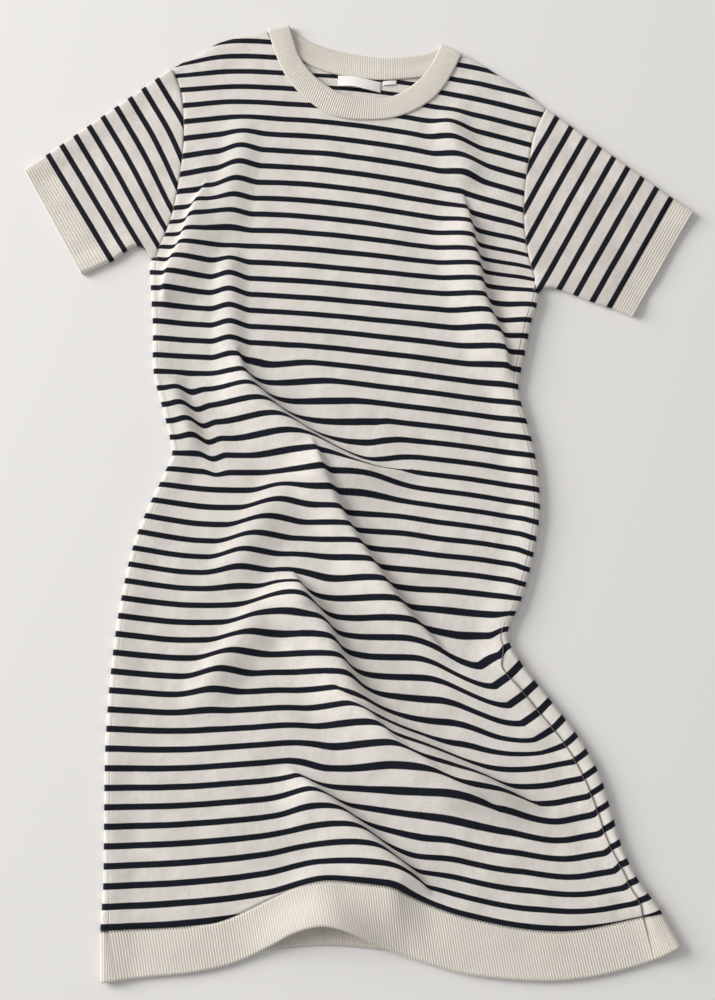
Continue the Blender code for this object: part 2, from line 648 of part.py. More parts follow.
# Sleeves and cuffs
EDGES = {
    "left": (front[:ARMPIT_ROW + 1, 0], back[:ARMPIT_ROW + 1, beyond], -1),
    "right": (front[:ARMPIT_ROW + 1, -1], back[:ARMPIT_ROW + 1, last_column - beyond], 1),
}
for side, (front_edge, back_edge, outward) in EDGES.items():
    seam, cuff, rise, peak = SLEEVES[side]
    rim = sleeve_rim(front_edge, back_edge, outward)
    length = np.hypot(*(np.array(seam[0]) - rim[0, :2]))
    last = 1 - SEAM_GAP / length
    rings = np.stack([sleeve_ring(rim, seam, rise, peak, min(t, last)) for t in SLEEVE_STATIONS])
    cuff_length = np.hypot(*(np.array(cuff[0]) - np.array(seam[0])))
    steps = np.linspace(SEAM_GAP / 2 / cuff_length, 1, CUFF_ROWS)
    cuffs = np.stack([sleeve_ring(rim, between(seam, cuff, t), 0, peak, 1.0) for t in steps])
    if outward > 0:
        rings, cuffs = rings[:, ::-1], cuffs[:, ::-1]
    wall_mesh("sleeve_" + side, rings, CLOTH, STRIPED, 0.8, ring=True)
    wall_mesh("cuff_" + side, cuffs, RIB, CREAM, 0.85, ring=True)

# The collar, one closed ring of rib
bend = np.array([0.0, 0.0035, 0.012, 0.024])
half = np.concatenate([bend, np.linspace(0.05, 0.95, 14), 1 - bend[::-1]])
strip_front = collar_strip(COLLAR_FRONT, half, COLLAR_ROWS, True)
strip_back = collar_strip(COLLAR_BACK, half[1:-1], COLLAR_ROWS, False)
wall_mesh("collar", np.concatenate([strip_front, strip_back], 1)[::-1], RIB, CREAM, 0.85, ring=True)


# The label and the tab, of woven tape laid on the back panel
def tape(name, place, height_up, width, depth, rise):
    across = np.linspace(-0.5, 0.5, 9)
    x = place + width * across
    top = np.interp(x, [row[0] for row in COLLAR_BACK[::-1]], [row[1] for row in COLLAR_BACK[::-1]])
    low = top - height_up - depth
    z = CLOTH + SEAM_GAP + TAPE + rise * (1 - (2 * across) ** 2)
    grid = np.stack([np.stack([x, top - height_up, z], -1), np.stack([x, low, z], -1)])
    wall_mesh(name, grid, TAPE, WHITE, 0.6)


tape("neck_label", LABEL[0], 1.8, LABEL[1], LABEL[2], LABEL[3])
tape("neck_tab", TAB[0], 1.8, TAB[1], TAB[2], TAB[3])
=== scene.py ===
# %% [markdown]
# # A striped knit midi dress, laid flat
#
# This lesson dresses a plain model of a laid-out dress. The real one is cut from fine jersey with narrow
# navy stripes on cream, and has a ribbed collar, rib cuffs and a deep ribbed hem. It was laid down loosely
# on a pale floor, so long creases cross its skirt. The cells below first load the plain model, then make the
# cloth again on a fine grid, give it knit, and light it softly from the upper left.

# %% Load the plain model
import math

import bmesh
import bpy
import numpy as np
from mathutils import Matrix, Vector


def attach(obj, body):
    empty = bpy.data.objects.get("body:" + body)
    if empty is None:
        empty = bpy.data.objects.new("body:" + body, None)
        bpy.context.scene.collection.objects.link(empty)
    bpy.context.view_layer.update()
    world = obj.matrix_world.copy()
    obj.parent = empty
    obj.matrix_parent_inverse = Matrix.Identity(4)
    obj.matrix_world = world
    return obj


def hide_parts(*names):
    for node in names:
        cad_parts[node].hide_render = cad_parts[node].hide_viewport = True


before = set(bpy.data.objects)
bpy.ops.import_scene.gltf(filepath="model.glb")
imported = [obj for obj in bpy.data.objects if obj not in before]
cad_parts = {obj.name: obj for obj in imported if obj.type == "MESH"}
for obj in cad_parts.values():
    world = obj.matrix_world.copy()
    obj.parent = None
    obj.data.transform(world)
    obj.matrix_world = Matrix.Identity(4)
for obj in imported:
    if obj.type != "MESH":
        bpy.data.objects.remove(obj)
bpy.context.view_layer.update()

# %% [markdown]
# ## Sizes of the cloth
#
# A knitter counts courses, the rows of the knit. Here one course number stands for one stripe, so the same
# number places a stripe, a fold and the edge of a panel. Each row of the table says how high up the dress a
# course lies at eight shares of its width. Between the rows a smooth curve fills in. Measuring the cloth this
# way means that the stripes bend wherever the cloth was pulled, as they do on the real dress.

# %% Named sizes, in millimetres
CLOTH = 1.3  # the jersey with its loft
RIB = 1.7
SEAM_GAP = 0.3
STRIPE_PITCH = 21.0  # one course of the table below
PLATEAU = 5.2  # the front's outer face where it lies over the back
LOWEST_FRONT = 3.8
EDGE_RADIUS, EDGE_MIDDLE = 6.0, 4.6  # how the side edges turn over, and how high their outermost line lies
ROLL_LEFT, ROLL_RIGHT, ROLL_FADE = 8.5, 11.0, 36.0  # how high they roll, and how far in they sink again
EDGE_HOLD = 30.0  # folds and ripples begin this far in from a side edge
SHOULDER_FALL, SHOULDER_TOP = 6.0, 3.5

SHARES = (0.0, 0.15, 0.30, 0.40, 0.50, 0.65, 0.82, 1.0)
COURSES = (
    # course, left edge ... right edge
    (-1.0, (600, 606, 604, 600, 593, 583, 568, 547)),
    (1.0, (546, 564, 562, 558, 551, 541, 526, 505)),
    (3.0, (517, 523, 521, 517, 511, 501, 486, 465)),
    (6.0, (456, 462, 459, 456, 451, 441, 425, 404)),
    (11.0, (342, 353, 354, 351, 346, 336, 322, 298)),
    (16.0, (258, 253, 250, 247, 243, 236, 228, 215)),
    (21.0, (153, 150, 148, 145, 141, 133, 123, 112)),
    (26.0, (50, 49, 48, 43, 36, 27, 18, 5)),
    (31.0, (-46, -56, -56, -54, -58, -66, -79, -94)),
    (36.0, (-145, -153, -153, -150, -154, -167, -178, -182)),
    (41.0, (-254, -259, -256, -254, -259, -272, -286, -278)),
    (46.0, (-367, -366, -360, -355, -361, -380, -397, -380)),
    (50.0, (-456, -452, -443, -432, -437, -467, -484, -468)),
    (53.2, (-529, -524, -510, -490, -503, -535, -550, -526)),
)
LAST_LEFT, LAST_RIGHT = 53.17, 52.17  # the hem seam runs across one stripe near the middle
BACK_BOW = 34.0

LEFT_EDGE = (
    # height up the dress, place across
    (-586, -295), (-545, -297), (-478, -295), (-412, -296), (-322, -297), (-233, -293), (-146, -283),
    (-65, -265), (-30, -251), (8, -234), (28, -226), (49, -229), (87, -239), (128, -250), (191, -253),
    (245, -257), (271, -258), (298, -245), (322, -236), (377, -225), (430, -220), (470, -221),
    (498, -225), (528, -237), (600, -250),
)
RIGHT_EDGE = (
    (-586, 372), (-545, 371), (-528, 361), (-502, 346), (-475, 326), (-439, 308), (-395, 295),
    (-349, 281), (-309, 259), (-261, 223), (-222, 193), (-193, 178), (-149, 194), (-114, 205),
    (-79, 213), (-41, 219), (-18, 219), (25, 215), (71, 205), (109, 196), (152, 204), (194, 213),
    (236, 223), (251, 219), (269, 214), (317, 207), (363, 208), (409, 215), (446, 224), (473, 237),
    (600, 260),
)
ARMPIT_LEFT, ARMPIT_RIGHT = 272.9, 233.2
ARMPIT_SHARE = 0.25
ARMPIT_BLEND = 14.0

SEAM_LEFT = ((12.0, 7), (50.0, 7), (53.2, 10))  # course, distance in from the outline
SEAM_RIGHT = ((12.0, 7), (35.5, 7), (37.0, 10), (38.5, 27), (40.0, 24), (44.0, 20), (47.0, 16), (49.5, 12),
              (51.0, 15), (52.5, 24))
HEM_SEAM_LEFT, HEM_SEAM_RIGHT = 18, 32

SHOULDER_LEFT = ((-237, 527), (-206, 547), (-177, 563), (-151, 571), (-119.5, 580.7))
SHOULDER_RIGHT = ((135.5, 546), (160, 531), (182, 516), (202, 503), (219, 490), (237, 473))
HEM_EDGE = ((-295, -586), (-246, -580), (-174, -572), (-139, -563), (-103, -546), (-70, -528), (-38, -521),
            (-6, -530), (18, -542), (74, -563), (122, -576), (171, -582), (220, -584), (257, -581),
            (294, -574), (343, -559), (371, -545))
BACK_HEM = ((-295, -585), (-174, -562), (-107, -551), (-43, -545), (37, -551), (122, -564), (220, -571),
            (300, -566), (371, -545))
COLLAR_FRONT = (
    # seam x, seam y, free x, free y
    (-116, 582, -88, 586), (-107, 552, -82, 564), (-92, 517, -75, 543), (-66, 486, -54, 515),
    (-30, 463, -20, 492), (10, 458, 12, 486), (55, 464, 45, 490), (95, 487, 74, 509),
    (120, 522, 94, 535), (132, 548, 106, 561),
)
COLLAR_BACK = (
    (132, 548, 106, 561), (112, 530, 96, 553), (90, 519, 84, 548), (63, 515, 62, 545),
    (30, 513, 30, 543), (-5, 516, -4, 548), (-43, 525, -36, 555), (-73, 540, -64, 566),
    (-99, 562, -82, 579), (-116, 582, -88, 586),
)
UNDER_COLLAR = 0.1
print("courses from neck to hem:", int(COURSES[-1][0]))

# %% [markdown]
# ## Folds
#
# Cloth that is laid down never lies quite flat. A sharp fold draws a strip of cloth into its steep side, so
# the stripes step down across it. A soft fold only lifts the cloth. Both are rows of a table: the line that
# the fold follows, how high it stands, how wide its gentle side is, how much cloth it draws in, and how it
# fades out. This is steadier than a cloth simulation, which would choose folds of its own.

# %% The folds
SHARP_FOLDS = (
    # path, height, gentle width, hidden cloth, steep width, taper in, taper out, reach
    # across the waist
    (((-150, 164), (-140, 140), (-110, 102), (-71, 68), (-20, 35), (8, 19), (36, 12), (80, 10)),
     13, 42, 25, 23, 50, 90, 46),
    # from the waist down to the right hip
    (((-66, 44), (-45, 6), (-25, -27), (-3, -65), (34, -122), (60, -158), (96, -200), (124, -228)),
     13, 40, 10, 9, 50, 110, 46),
    # the longest, over the skirt
    (((-82, -108), (-65, -131), (-35, -174), (-10, -226), (16, -261), (47, -291), (84, -314), (114, -332),
      (160, -359), (200, -382), (236, -402)), 17, 46, 26, 23, 50, 120, 52),
    # a shallow one below it
    (((-52, -236), (-23, -267), (7, -291), (37, -320), (71, -344), (109, -370), (142, -387), (182, -410)),
     9, 34, 13, 12, 60, 100, 34),
    # low on the skirt, towards the hem
    (((-88, -338), (-58, -357), (-31, -376), (7, -409), (38, -438), (71, -469), (90, -496)),
     14, 48, 20, 18, 50, 60, 46),
    # down the right side of the chest
    (((128, 372), (140, 330), (151, 273), (160, 223), (177, 179), (189, 131), (200, 104)),
     11, 40, 16, 14, 70, 60, 42),
    # up the left side, under the arm
    (((-246, 196), (-245, 236), (-238, 265), (-223, 300), (-210, 339), (-186, 387)),
     10, 44, 18, 16, 50, 60, 40),
    # the small inner turn beside the right side seam
    (((172, -190), (178, -228), (188, -250), (203, -271), (219, -293), (239, -308)),
     3.5, 34, 0, 9, 30, 30, 20),
)
SOFT_FOLDS = (
    # path, height, half width, lift up the dress, taper in, taper out
    (((104, 480), (120, 430), (134, 392), (150, 365)), 7, 34, 5, 40, 30),
    (((-160, 300), (-159, 250), (-158, 190), (-154, 118)), 6, 26, 5, 40, 40),
    (((-140, 470), (-150, 400), (-160, 330), (-162, 290)), 5, 30, 5, 60, 40),
    (((-212, 135), (-202, 104), (-186, 62), (-174, 20), (-166, -10)), -1.3, 16, -5, 40, 30),
    (((-232, 135), (-222, 90), (-205, 55), (-200, 20)), 5, 22, 4, 40, 40),
    (((-60, 10), (-90, -25), (-115, -60), (-140, -100), (-165, -150)), 7, 40, 9, 50, 60),
    (((-65, -120), (-95, -150), (-130, -190), (-165, -235), (-200, -300)), 8, 36, 8, 40, 80),
)
HEM_ARCH, ARCH_REACH = (-36, 100, 20), 90  # place across, half width, lift; how far up it reaches
print("folds:", len(SHARP_FOLDS), "sharp,", len(SOFT_FOLDS), "soft")

# %% [markdown]
# ## Curves through a table
#
# Every edge and every course is a smooth curve through a few rows of numbers. A cubic curve that leans, at
# each row, the way its neighbours lean, passes through every row without swinging past it.


# %% Curves and soft steps
def spline(xs, ys, x):
    """A smooth curve through a table. ys may hold one column for each point of x."""
    xs, ys, x = (np.asarray(v, float) for v in (xs, ys, x))
    gaps = np.diff(xs).reshape((-1,) + (1,) * (ys.ndim - 1))
    slopes = np.diff(ys, axis=0) / gaps
    inner = (slopes[:-1] * gaps[1:] + slopes[1:] * gaps[:-1]) / (gaps[:-1] + gaps[1:])
    lean = np.concatenate([slopes[:1], inner, slopes[-1:]])
    k = np.clip(np.searchsorted(xs, x, side="right") - 1, 0, len(xs) - 2)
    gap = xs[k + 1] - xs[k]
    t = np.clip((x - xs[k]) / gap, 0, 1)
    pick = (k,) if ys.ndim == 1 else (k, np.arange(x.size))
    after = (k + 1,) if ys.ndim == 1 else (k + 1, np.arange(x.size))
    return (
        (1 + 2 * t) * (1 - t) ** 2 * ys[pick]
        + t * (1 - t) ** 2 * gap * lean[pick]
        + t * t * (3 - 2 * t) * ys[after]
        - t * t * (1 - t) * gap * lean[after]
    )


def table_curve(table, x):
    return spline([row[0] for row in table], [row[1] for row in table], x)


def ease(x):
    x = np.clip(x, 0, 1)
    return x * x * (3 - 2 * x)


def table_steps(table, x):
    """Eases from each row's value to the next one's, never past either."""
    xs = np.array([row[0] for row in table], float)
    ys = np.array([row[1] for row in table], float)
    k = np.clip(np.searchsorted(xs, x, side="right") - 1, 0, len(xs) - 2)
    return ys[k] + (ys[k + 1] - ys[k]) * ease((x - xs[k]) / (xs[k + 1] - xs[k]))


def round_over(distance, radius):
    """0 at an edge, rising like a quarter circle to 1 at the radius."""
    return np.sqrt(1 - (1 - np.clip(distance / radius, 0, 1)) ** 2)


def course_height(course, share):
    course, share = np.broadcast_arrays(np.asarray(course, float), np.asarray(share, float))
    flat_course, flat_share = course.ravel(), share.ravel()
    numbers = [row[0] for row in COURSES]
    at = [spline(numbers, [row[1][c] for row in COURSES], flat_course) for c in range(len(SHARES))]
    return spline(SHARES, np.array(at), flat_share).reshape(course.shape)


def side_edges(course):
    left = table_curve(LEFT_EDGE, course_height(course, 0.0))
    right = table_curve(RIGHT_EDGE, course_height(course, 1.0))
    return left, right


print("course 26 at the left edge, mm:", float(course_height(26.0, 0.0)))

# %% [markdown]
# ## Folding and rolling the flat cloth
#
# Each point of the flat cloth looks for its distance to every fold's line. Inside the steep band the cloth
# is pushed together, beyond it the pull fades, and the height rises on the gentle side. The side edges of a
# laid tube don't crease: they roll, a little higher than the rest, which gives each a soft bright line.


# %% From flat cloth to folded cloth
def along(path, x, y, step):
    """For each point: signed distance to a smooth path, distance run along it, and its normal there.
    The path's whole length comes last."""
    path = np.array(path, float)
    run = np.concatenate([[0], np.cumsum(np.hypot(*np.diff(path, axis=0).T))])
    s = np.linspace(0, run[-1], max(8, int(run[-1] / step)))
    line = np.stack([spline(run, path[:, 0], s), spline(run, path[:, 1], s)], 1)
    ways = np.diff(line, axis=0)
    lengths = np.hypot(ways[:, 0], ways[:, 1])
    points = np.stack([x.ravel(), y.ravel()], 1)
    nearest = np.full(len(points), 1e9)
    found = np.zeros((4, len(points)))
    for i, (way, length) in enumerate(zip(ways, lengths)):
        offset = points - line[i]
        t = np.clip(offset @ way / length**2, 0, 1)
        away = offset - t[:, None] * way
        distance = np.hypot(away[:, 0], away[:, 1])
        side = np.sign(way[0] * offset[:, 1] - way[1] * offset[:, 0])
        values = (side * distance, s[i] + t * (s[i + 1] - s[i]), -way[1] / length, way[0] / length)
        closer = distance < nearest
        nearest[closer] = distance[closer]
        for row, value in zip(found, values):
            row[closer] = np.broadcast_to(value, closer.shape)[closer]
    return (*(row.reshape(x.shape) for row in found), run[-1])


def folded(x, y):
    """How far the folds move the cloth in plan, and how high they lift it."""
    move_x, move_y, lift = np.zeros_like(x), np.zeros_like(x), np.zeros_like(x)
    for path, height, gentle, hidden, steep, taper_in, taper_out, reach in SHARP_FOLDS:
        s, run, nx, ny, length = along(path, x, y, 4.0)
        size = ease(run / taper_in) * ease((length - run) / taper_out)
        half = (hidden + steep) * size / 2 + 1e-6
        fade = 1 - ease((np.abs(s) - half) / reach)
        inside = np.sin(np.clip(s / half, -1, 1) * np.pi / 2)
        pull = np.where(np.abs(s) < half, inside, np.sign(s) * fade) * hidden * size / 2
        move_x -= pull * nx
        move_y -= pull * ny
        slope = np.where(s < -half, 1 - ease((-s - half) / gentle), ease((half - s) / (2 * half)))
        lift += height * size * slope
    for path, height, width, rise, taper_in, taper_out in SOFT_FOLDS:
        s, run, _, _, length = along(path, x, y, 8.0)
        size = ease(run / taper_in) * ease((length - run) / taper_out) * (1 - ease(np.abs(s) / width))
        lift += height * size
        move_y += rise * size
    return move_x, move_y, lift


def arch(x, y):
    """The lift of the front hem where it stands off the back."""
    centre, half_width, rise = HEM_ARCH
    edge = table_curve(HEM_EDGE, x)
    return rise * (1 - ease(np.abs(x - centre) / half_width)) * (1 - ease((y - edge) / ARCH_REACH))


def collar_clear(x, y):
    """0 under the collar, 1 well away from it."""
    s, *_ = along([row[:2] for row in COLLAR_FRONT], x, y, 6.0)
    return ease((np.abs(s) - 6) / 34)


def below_armpit(y, armpit):
    return ease((armpit + ARMPIT_BLEND - y) / ARMPIT_BLEND)


def ripples(x, y):
    """Faint unevenness, a few waves that don't repeat together. It is never more than 1 mm."""
    waves = (
        # length, direction in degrees, height
        (93.0, 20.0, 0.30), (61.0, 75.0, 0.26), (47.0, 130.0, 0.20),
        (38.0, 50.0, 0.14), (29.0, 100.0, 0.10),
    )
    total = np.zeros_like(x)
    for i, (length, direction, height) in enumerate(waves):
        a = math.radians(direction)
        bend = 0.6 * np.sin(2 * np.pi * (x * math.sin(a) - y * math.cos(a)) / (length * 2.3) + i)
        total += height * np.sin(2 * np.pi * (x * math.cos(a) + y * math.sin(a)) / length + 3.1 * i + bend)
    return total


def top_height(x, y, lift, from_left, from_right):
    """The height of the front's outer face, with its edges rolled below the armpits."""
    z = PLATEAU + lift * ease(from_left / 26) * ease(from_right / 26) * collar_clear(x, y) + arch(x, y)
    z = np.maximum(z, LOWEST_FRONT)
    sides = ((from_left, ROLL_LEFT, ARMPIT_LEFT), (from_right, ROLL_RIGHT, ARMPIT_RIGHT))
    for distance, roll, armpit in sides:
        below = below_armpit(y, armpit)
        z = z + (roll - PLATEAU) * below * (1 - ease((distance - EDGE_RADIUS) / ROLL_FADE))
        rounded = EDGE_MIDDLE + (z - EDGE_MIDDLE) * round_over(distance, EDGE_RADIUS)
        z = z + (rounded - z) * below
    return z


def under_height(y, from_left, from_right):
    """The height of the back's outer face, flat on the surface and curled up at the rolled edges."""
    z = np.zeros_like(y)
    for distance, armpit in ((from_left, ARMPIT_LEFT), (from_right, ARMPIT_RIGHT)):
        z = z + EDGE_MIDDLE * below_armpit(y, armpit) * (1 - round_over(distance, EDGE_RADIUS))
    return z


def front_surface(course, share):
    """A point of the front's outer face, by its course and its share of the width."""
    course, share = np.broadcast_arrays(np.asarray(course, float), np.asarray(share, float))
    left, right = side_edges(course)
    x = left + (right - left) * share
    y = course_height(course, share)
    from_left, from_right = x - left, right - x
    hold = ease(from_left / EDGE_HOLD) * ease(from_right / EDGE_HOLD)
    move_x, move_y, lift = folded(x, y)
    z = top_height(x, y, lift, from_left, from_right)
    z = z + ripples(x, y) * hold * collar_clear(x, y)
    return np.stack([x + move_x * hold, y + move_y * hold, z], -1)


def back_course_height(course, share):
    ends = course_height(course, 0.0) * (1 - share) + course_height(course, 1.0) * share
    return ends + BACK_BOW * 4 * share * (1 - share) * ease(course / 30)


def back_surface(course, share):
    """A point of the back's outer face, which lies on the floor."""
    left, right = side_edges(course)
    x = left + (right - left) * share
    y = back_course_height(course, share)
    return np.stack([x, y, under_height(y, x - left, right - x)], -1)


sample = front_surface(np.array([20.0]), np.array([0.5]))[0]
print("middle of course 20, mm:", [round(float(v), 1) for v in sample])

# %% [markdown]
# ## Where the panels begin and end
#
# The front and the back are each cut as one panel. Their top edges follow the shoulders and run a little way
# under the collar. To find where a column of cloth begins, the course number is halved in on the edge, over
# and over, which works for any outline. The side seams lie a little way in on top, as they do on a knit tube
# that has twisted, and on the right the seam wanders further in below the hip.


# %% Edges of the panels
HALVINGS = 30


def neck_line(rows, share):
    """The line at one share of the collar's width, from its seam to its free edge."""
    return tuple((a + (c - a) * share, b + (d - b) * share) for a, b, c, d in rows)


def panel_top(rows):
    neck = neck_line(rows, UNDER_COLLAR)
    neck = neck if neck[0][0] < neck[-1][0] else neck[::-1]
    return SHOULDER_LEFT + neck[1:-1] + SHOULDER_RIGHT


FRONT_TOP, BACK_TOP = panel_top(COLLAR_FRONT), panel_top(COLLAR_BACK)


def first_course(share, top, height_of):
    """The course at which a column of cloth comes out from under a panel's top edge."""
    low, high = np.full_like(share, -0.9), np.full_like(share, 9.0)
    for _ in range(HALVINGS):
        middle = (low + high) / 2
        left, right = side_edges(middle)
        x = left + (right - left) * share
        above = height_of(middle, share) > np.interp(x, [p[0] for p in top], [p[1] for p in top])
        low, high = np.where(above, middle, low), np.where(above, high, middle)
    return (low + high) / 2


def last_course(share):
    return LAST_LEFT + (LAST_RIGHT - LAST_LEFT) * ease((share - 0.18) / 0.17)


def last_back_course(share):
    return LAST_LEFT + (LAST_RIGHT - LAST_LEFT) * share


def courses_of(rows, share, top, height_of, last):
    start = first_course(share, top, height_of)
    return start + rows[:, None] * (last(share) - start)


def seam_insets(course):
    left = table_steps(SEAM_LEFT, course) * below_armpit(course_height(course, 0.0), ARMPIT_LEFT)
    right = table_steps(SEAM_RIGHT, course) * below_armpit(course_height(course, 1.0), ARMPIT_RIGHT)
    return left, right


# Rows of the fine grid: close together at the shoulders, and one exactly at the armpits
ROW_COUNT, COLUMN_COUNT = 270, 132
even_rows = np.linspace(0.0075, 1.0, ROW_COUNT)
even_rows = even_rows[np.abs(even_rows - ARMPIT_SHARE) > 0.0018]
ROWS = np.sort(np.concatenate([[0.0, 0.0008, 0.0018, 0.003, 0.0048], even_rows, [ARMPIT_SHARE]]))
ARMPIT_ROW = int(np.argmin(np.abs(ROWS - ARMPIT_SHARE)))
COLUMNS = np.sort(np.concatenate([[0.0025, 0.006], np.linspace(0.0, 1.0, COLUMN_COUNT), [0.994, 0.9975]]))
print("grid of the front:", len(ROWS), "by", len(COLUMNS))

# %% [markdown]
# ## The front panel
#
# A laid-out panel is one sheet, so it is one grid of points: rows down the dress, columns across it. A seam
# pulls the cloth in a little, and dipping the sheet by 0.9 mm beside each armhole gives the fine shadow that
# a real seam has. The course number and the place across are kept for each point, because they become the
# sheet's own map, which the stripes and the knit follow. Beside the right edge the cloth was pulled down as
# it was laid, so there the stripes sink.

# %% Front panel's points
SEAM_DIP, SEAM_DIP_WIDTH = 0.9, 3.0


def seam_dip(distance):
    return SEAM_DIP * (1 - ease(distance / SEAM_DIP_WIDTH))


def front_panel(rows, columns):
    course = courses_of(rows, columns, FRONT_TOP, course_height, last_course)
    left, right = side_edges(course)
    inset_left, inset_right = seam_insets(course)
    width = right - left
    first = (inset_left + SEAM_GAP / 2) / width
    last = 1 - (inset_right + SEAM_GAP / 2) / width
    share = first + (last - first) * columns
    points = front_surface(course, share)
    x = points[0, :, 0]
    on_shoulder = (x < SHOULDER_LEFT[-1][0] + 1) | (x > SHOULDER_RIGHT[0][0] - 1)
    down = np.hypot(*(points[:, :, :2] - points[:1, :, :2]).transpose(2, 0, 1))
    fall = (1 - ease(down / SHOULDER_FALL)) * on_shoulder
    points[:, :, 2] -= (points[:, :, 2] - SHOULDER_TOP) * fall
    on_sleeve = 1 - below_armpit(points[:, :1, 1], ARMPIT_LEFT)
    on_sleeve_right = 1 - below_armpit(points[:, -1:, 1], ARMPIT_RIGHT)
    points[:, :, 2] -= seam_dip((share - first) * width) * on_sleeve
    points[:, :, 2] -= seam_dip((last - share) * width) * on_sleeve_right
    return points, course, share * width


DROP_BY_HEIGHT = (
    # height on the dress, how far the stripes sink there
    (-600, 0), (-552, 0), (-512, 6), (-432, 12), (-350, 15), (-292, 20), (-200, 12), (-150, 0), (0, 0),
)
DROP_FROM_EDGE = (24, 52, 75)  # the drop is whole at the first, fades from the second on, over the third
TURN_DROP, TURN_LOW, TURN_HIGH, TURN_EASE = 10, -345, -188, 40  # the small inner turn of cloth at the hip
TURN_FROM_EDGE = (24, 26, 50, 60)  # begins, grows over, fades from, fades over


def stripe_drop(points, from_right):
    """How many stripes the pattern sinks beside the right edge, where the cloth was pulled down."""
    y = points[..., 1]
    whole_at, fades_at, fades_over = DROP_FROM_EDGE
    drop = table_curve(DROP_BY_HEIGHT, y.ravel()).reshape(from_right.shape)
    drop = drop * ease(from_right / whole_at) * (1 - ease((from_right - fades_at) / fades_over))
    begins, grows_over, turn_fades_at, turn_fades_over = TURN_FROM_EDGE
    at_turn = TURN_DROP * ease((y - TURN_LOW) / TURN_EASE) * ease((TURN_HIGH - y) / TURN_EASE)
    turn = np.clip((from_right - begins) / grows_over, 0, 1)
    turn = turn * (1 - ease((from_right - turn_fades_at) / turn_fades_over))
    return (drop + at_turn * turn) / STRIPE_PITCH


front, front_course, front_across = front_panel(ROWS, COLUMNS)
front_left, front_right = side_edges(front_course)
front_course = front_course - stripe_drop(front, front_right - front_left - front_across)
print("front panel, mm:", np.round(front.reshape(-1, 3).min(0)), np.round(front.reshape(-1, 3).max(0)))

# %% [markdown]
# ## The back panel
#
# The back lies on the floor. At each side it curls up, turns over the edge and ends at the side seam on top,
# so one grid runs from seam to seam the long way round. The strips that go over the edge only begin at the
# armpits, because above them the sleeves take over.

# %% Back panel's points
BACK_NECK_SHIFT = 0.5  # the back's stripes lie half a stripe off the front's behind the neck
BESIDE_SEAM = (1.0, 0.8, 0.5, 0.25)  # shares of the way from the rolled edge in to the seam
WRAP = (1.0, 0.75, 0.5, 0.32, 0.18, 0.08, 0.0)  # shares of the edge's radius, from the top out to the edge
RIGHT_WELT = 2.4  # how much deeper the right side seam sinks below the hip
EDGE_SINKS = 0.38  # below the hip the right edge's stripes sink too, by this share


def wrap_column(rows, side, on_top, distance):
    """One column of the strip that goes over an edge, at a distance in from it."""
    share = np.array([float(side)])
    course = courses_of(rows, share, FRONT_TOP, course_height, last_course)
    left, right = side_edges(course)
    part = distance / (right - left)
    part = 1 - part if side else part
    points = front_surface(course, part) if on_top else back_surface(course, part)
    return points, course, part * (right - left)


def back_panel(rows, columns):
    sides = []
    for side in (0, 1):
        course = courses_of(rows, np.array([float(side)]), FRONT_TOP, course_height, last_course)
        inset = seam_insets(course)[side]
        seam_at = inset - SEAM_GAP / 2
        on_top = [EDGE_RADIUS + (seam_at - EDGE_RADIUS) * part for part in BESIDE_SEAM]
        on_top += [np.full_like(inset, EDGE_RADIUS * part) for part in WRAP[:-1]]
        at_edge = SEAM_GAP / 2 * (1 - inset / inset.max()).clip(0, 1)
        below = [np.maximum(np.full_like(inset, EDGE_RADIUS * part), at_edge) for part in WRAP[::-1]]
        parts = [wrap_column(rows, side, True, np.clip(d, 0, None)) for d in on_top]
        for part, distance in zip(parts, on_top):
            below_hip = ease((-170 - part[0][..., 1]) / 60)
            welt = seam_dip((seam_at - distance) / 3) * (distance <= seam_at)
            part[0][..., 2] -= welt * side * RIGHT_WELT * below_hip
        parts += [wrap_column(rows, side, False, d) for d in below]
        sides.append([np.concatenate([part[k] for part in parts], 1) for k in range(3)])
    course = courses_of(rows, columns, BACK_TOP, back_course_height, last_back_course)
    left, right = side_edges(course)
    share = np.broadcast_to(columns, course.shape)
    middle = [back_surface(course, share), course, columns * (right - left)]
    joined = [np.concatenate([a, b, c[:, ::-1]], 1) for a, b, c in zip(sides[0], middle, sides[1])]
    return (*joined, len(BESIDE_SEAM) + len(WRAP) - 1)


back, back_course, back_across, beyond = back_panel(ROWS, np.linspace(0.03, 0.97, 64))
last_back = back.shape[1] - 1
back_left, back_right = side_edges(back_course)
back_from_right = back_right - back_left - back_across
back_inset = seam_insets(back_course)[1]
edge_sinks = EDGE_SINKS * ease((-200 - back[..., 1]) / 50)
drop_at_seam = stripe_drop(back, back_inset)
strip_drop = drop_at_seam * (edge_sinks + (1 - edge_sinks) * (back_from_right / back_inset).clip(0, 1))
under = slice(0, last_back - beyond + 1)
strip_drop[:, under] = (drop_at_seam * edge_sinks * (1 - ease(back_from_right / 60)))[:, under]
back_course = back_course - strip_drop
across_neck = ((back[..., 0] + 200) / 400).clip(0, 1)
near_neck = np.sin(np.pi * across_neck) ** 2 * (1 - ease((back_course - 5) / 4))
back_course = back_course + BACK_NECK_SHIFT * near_neck
print("back panel's columns:", last_back + 1, "of which beyond each edge:", beyond)

# %% [markdown]
# ## Sleeves and cuffs
#
# A sleeve is a flattened tube. One ring of points runs down the armhole in front, across the armpit and up
# the back, and the rings slide out along the arm to the straight cuff seam. The stripes of a sleeve run
# across it, so their number is counted from the cuff seam.

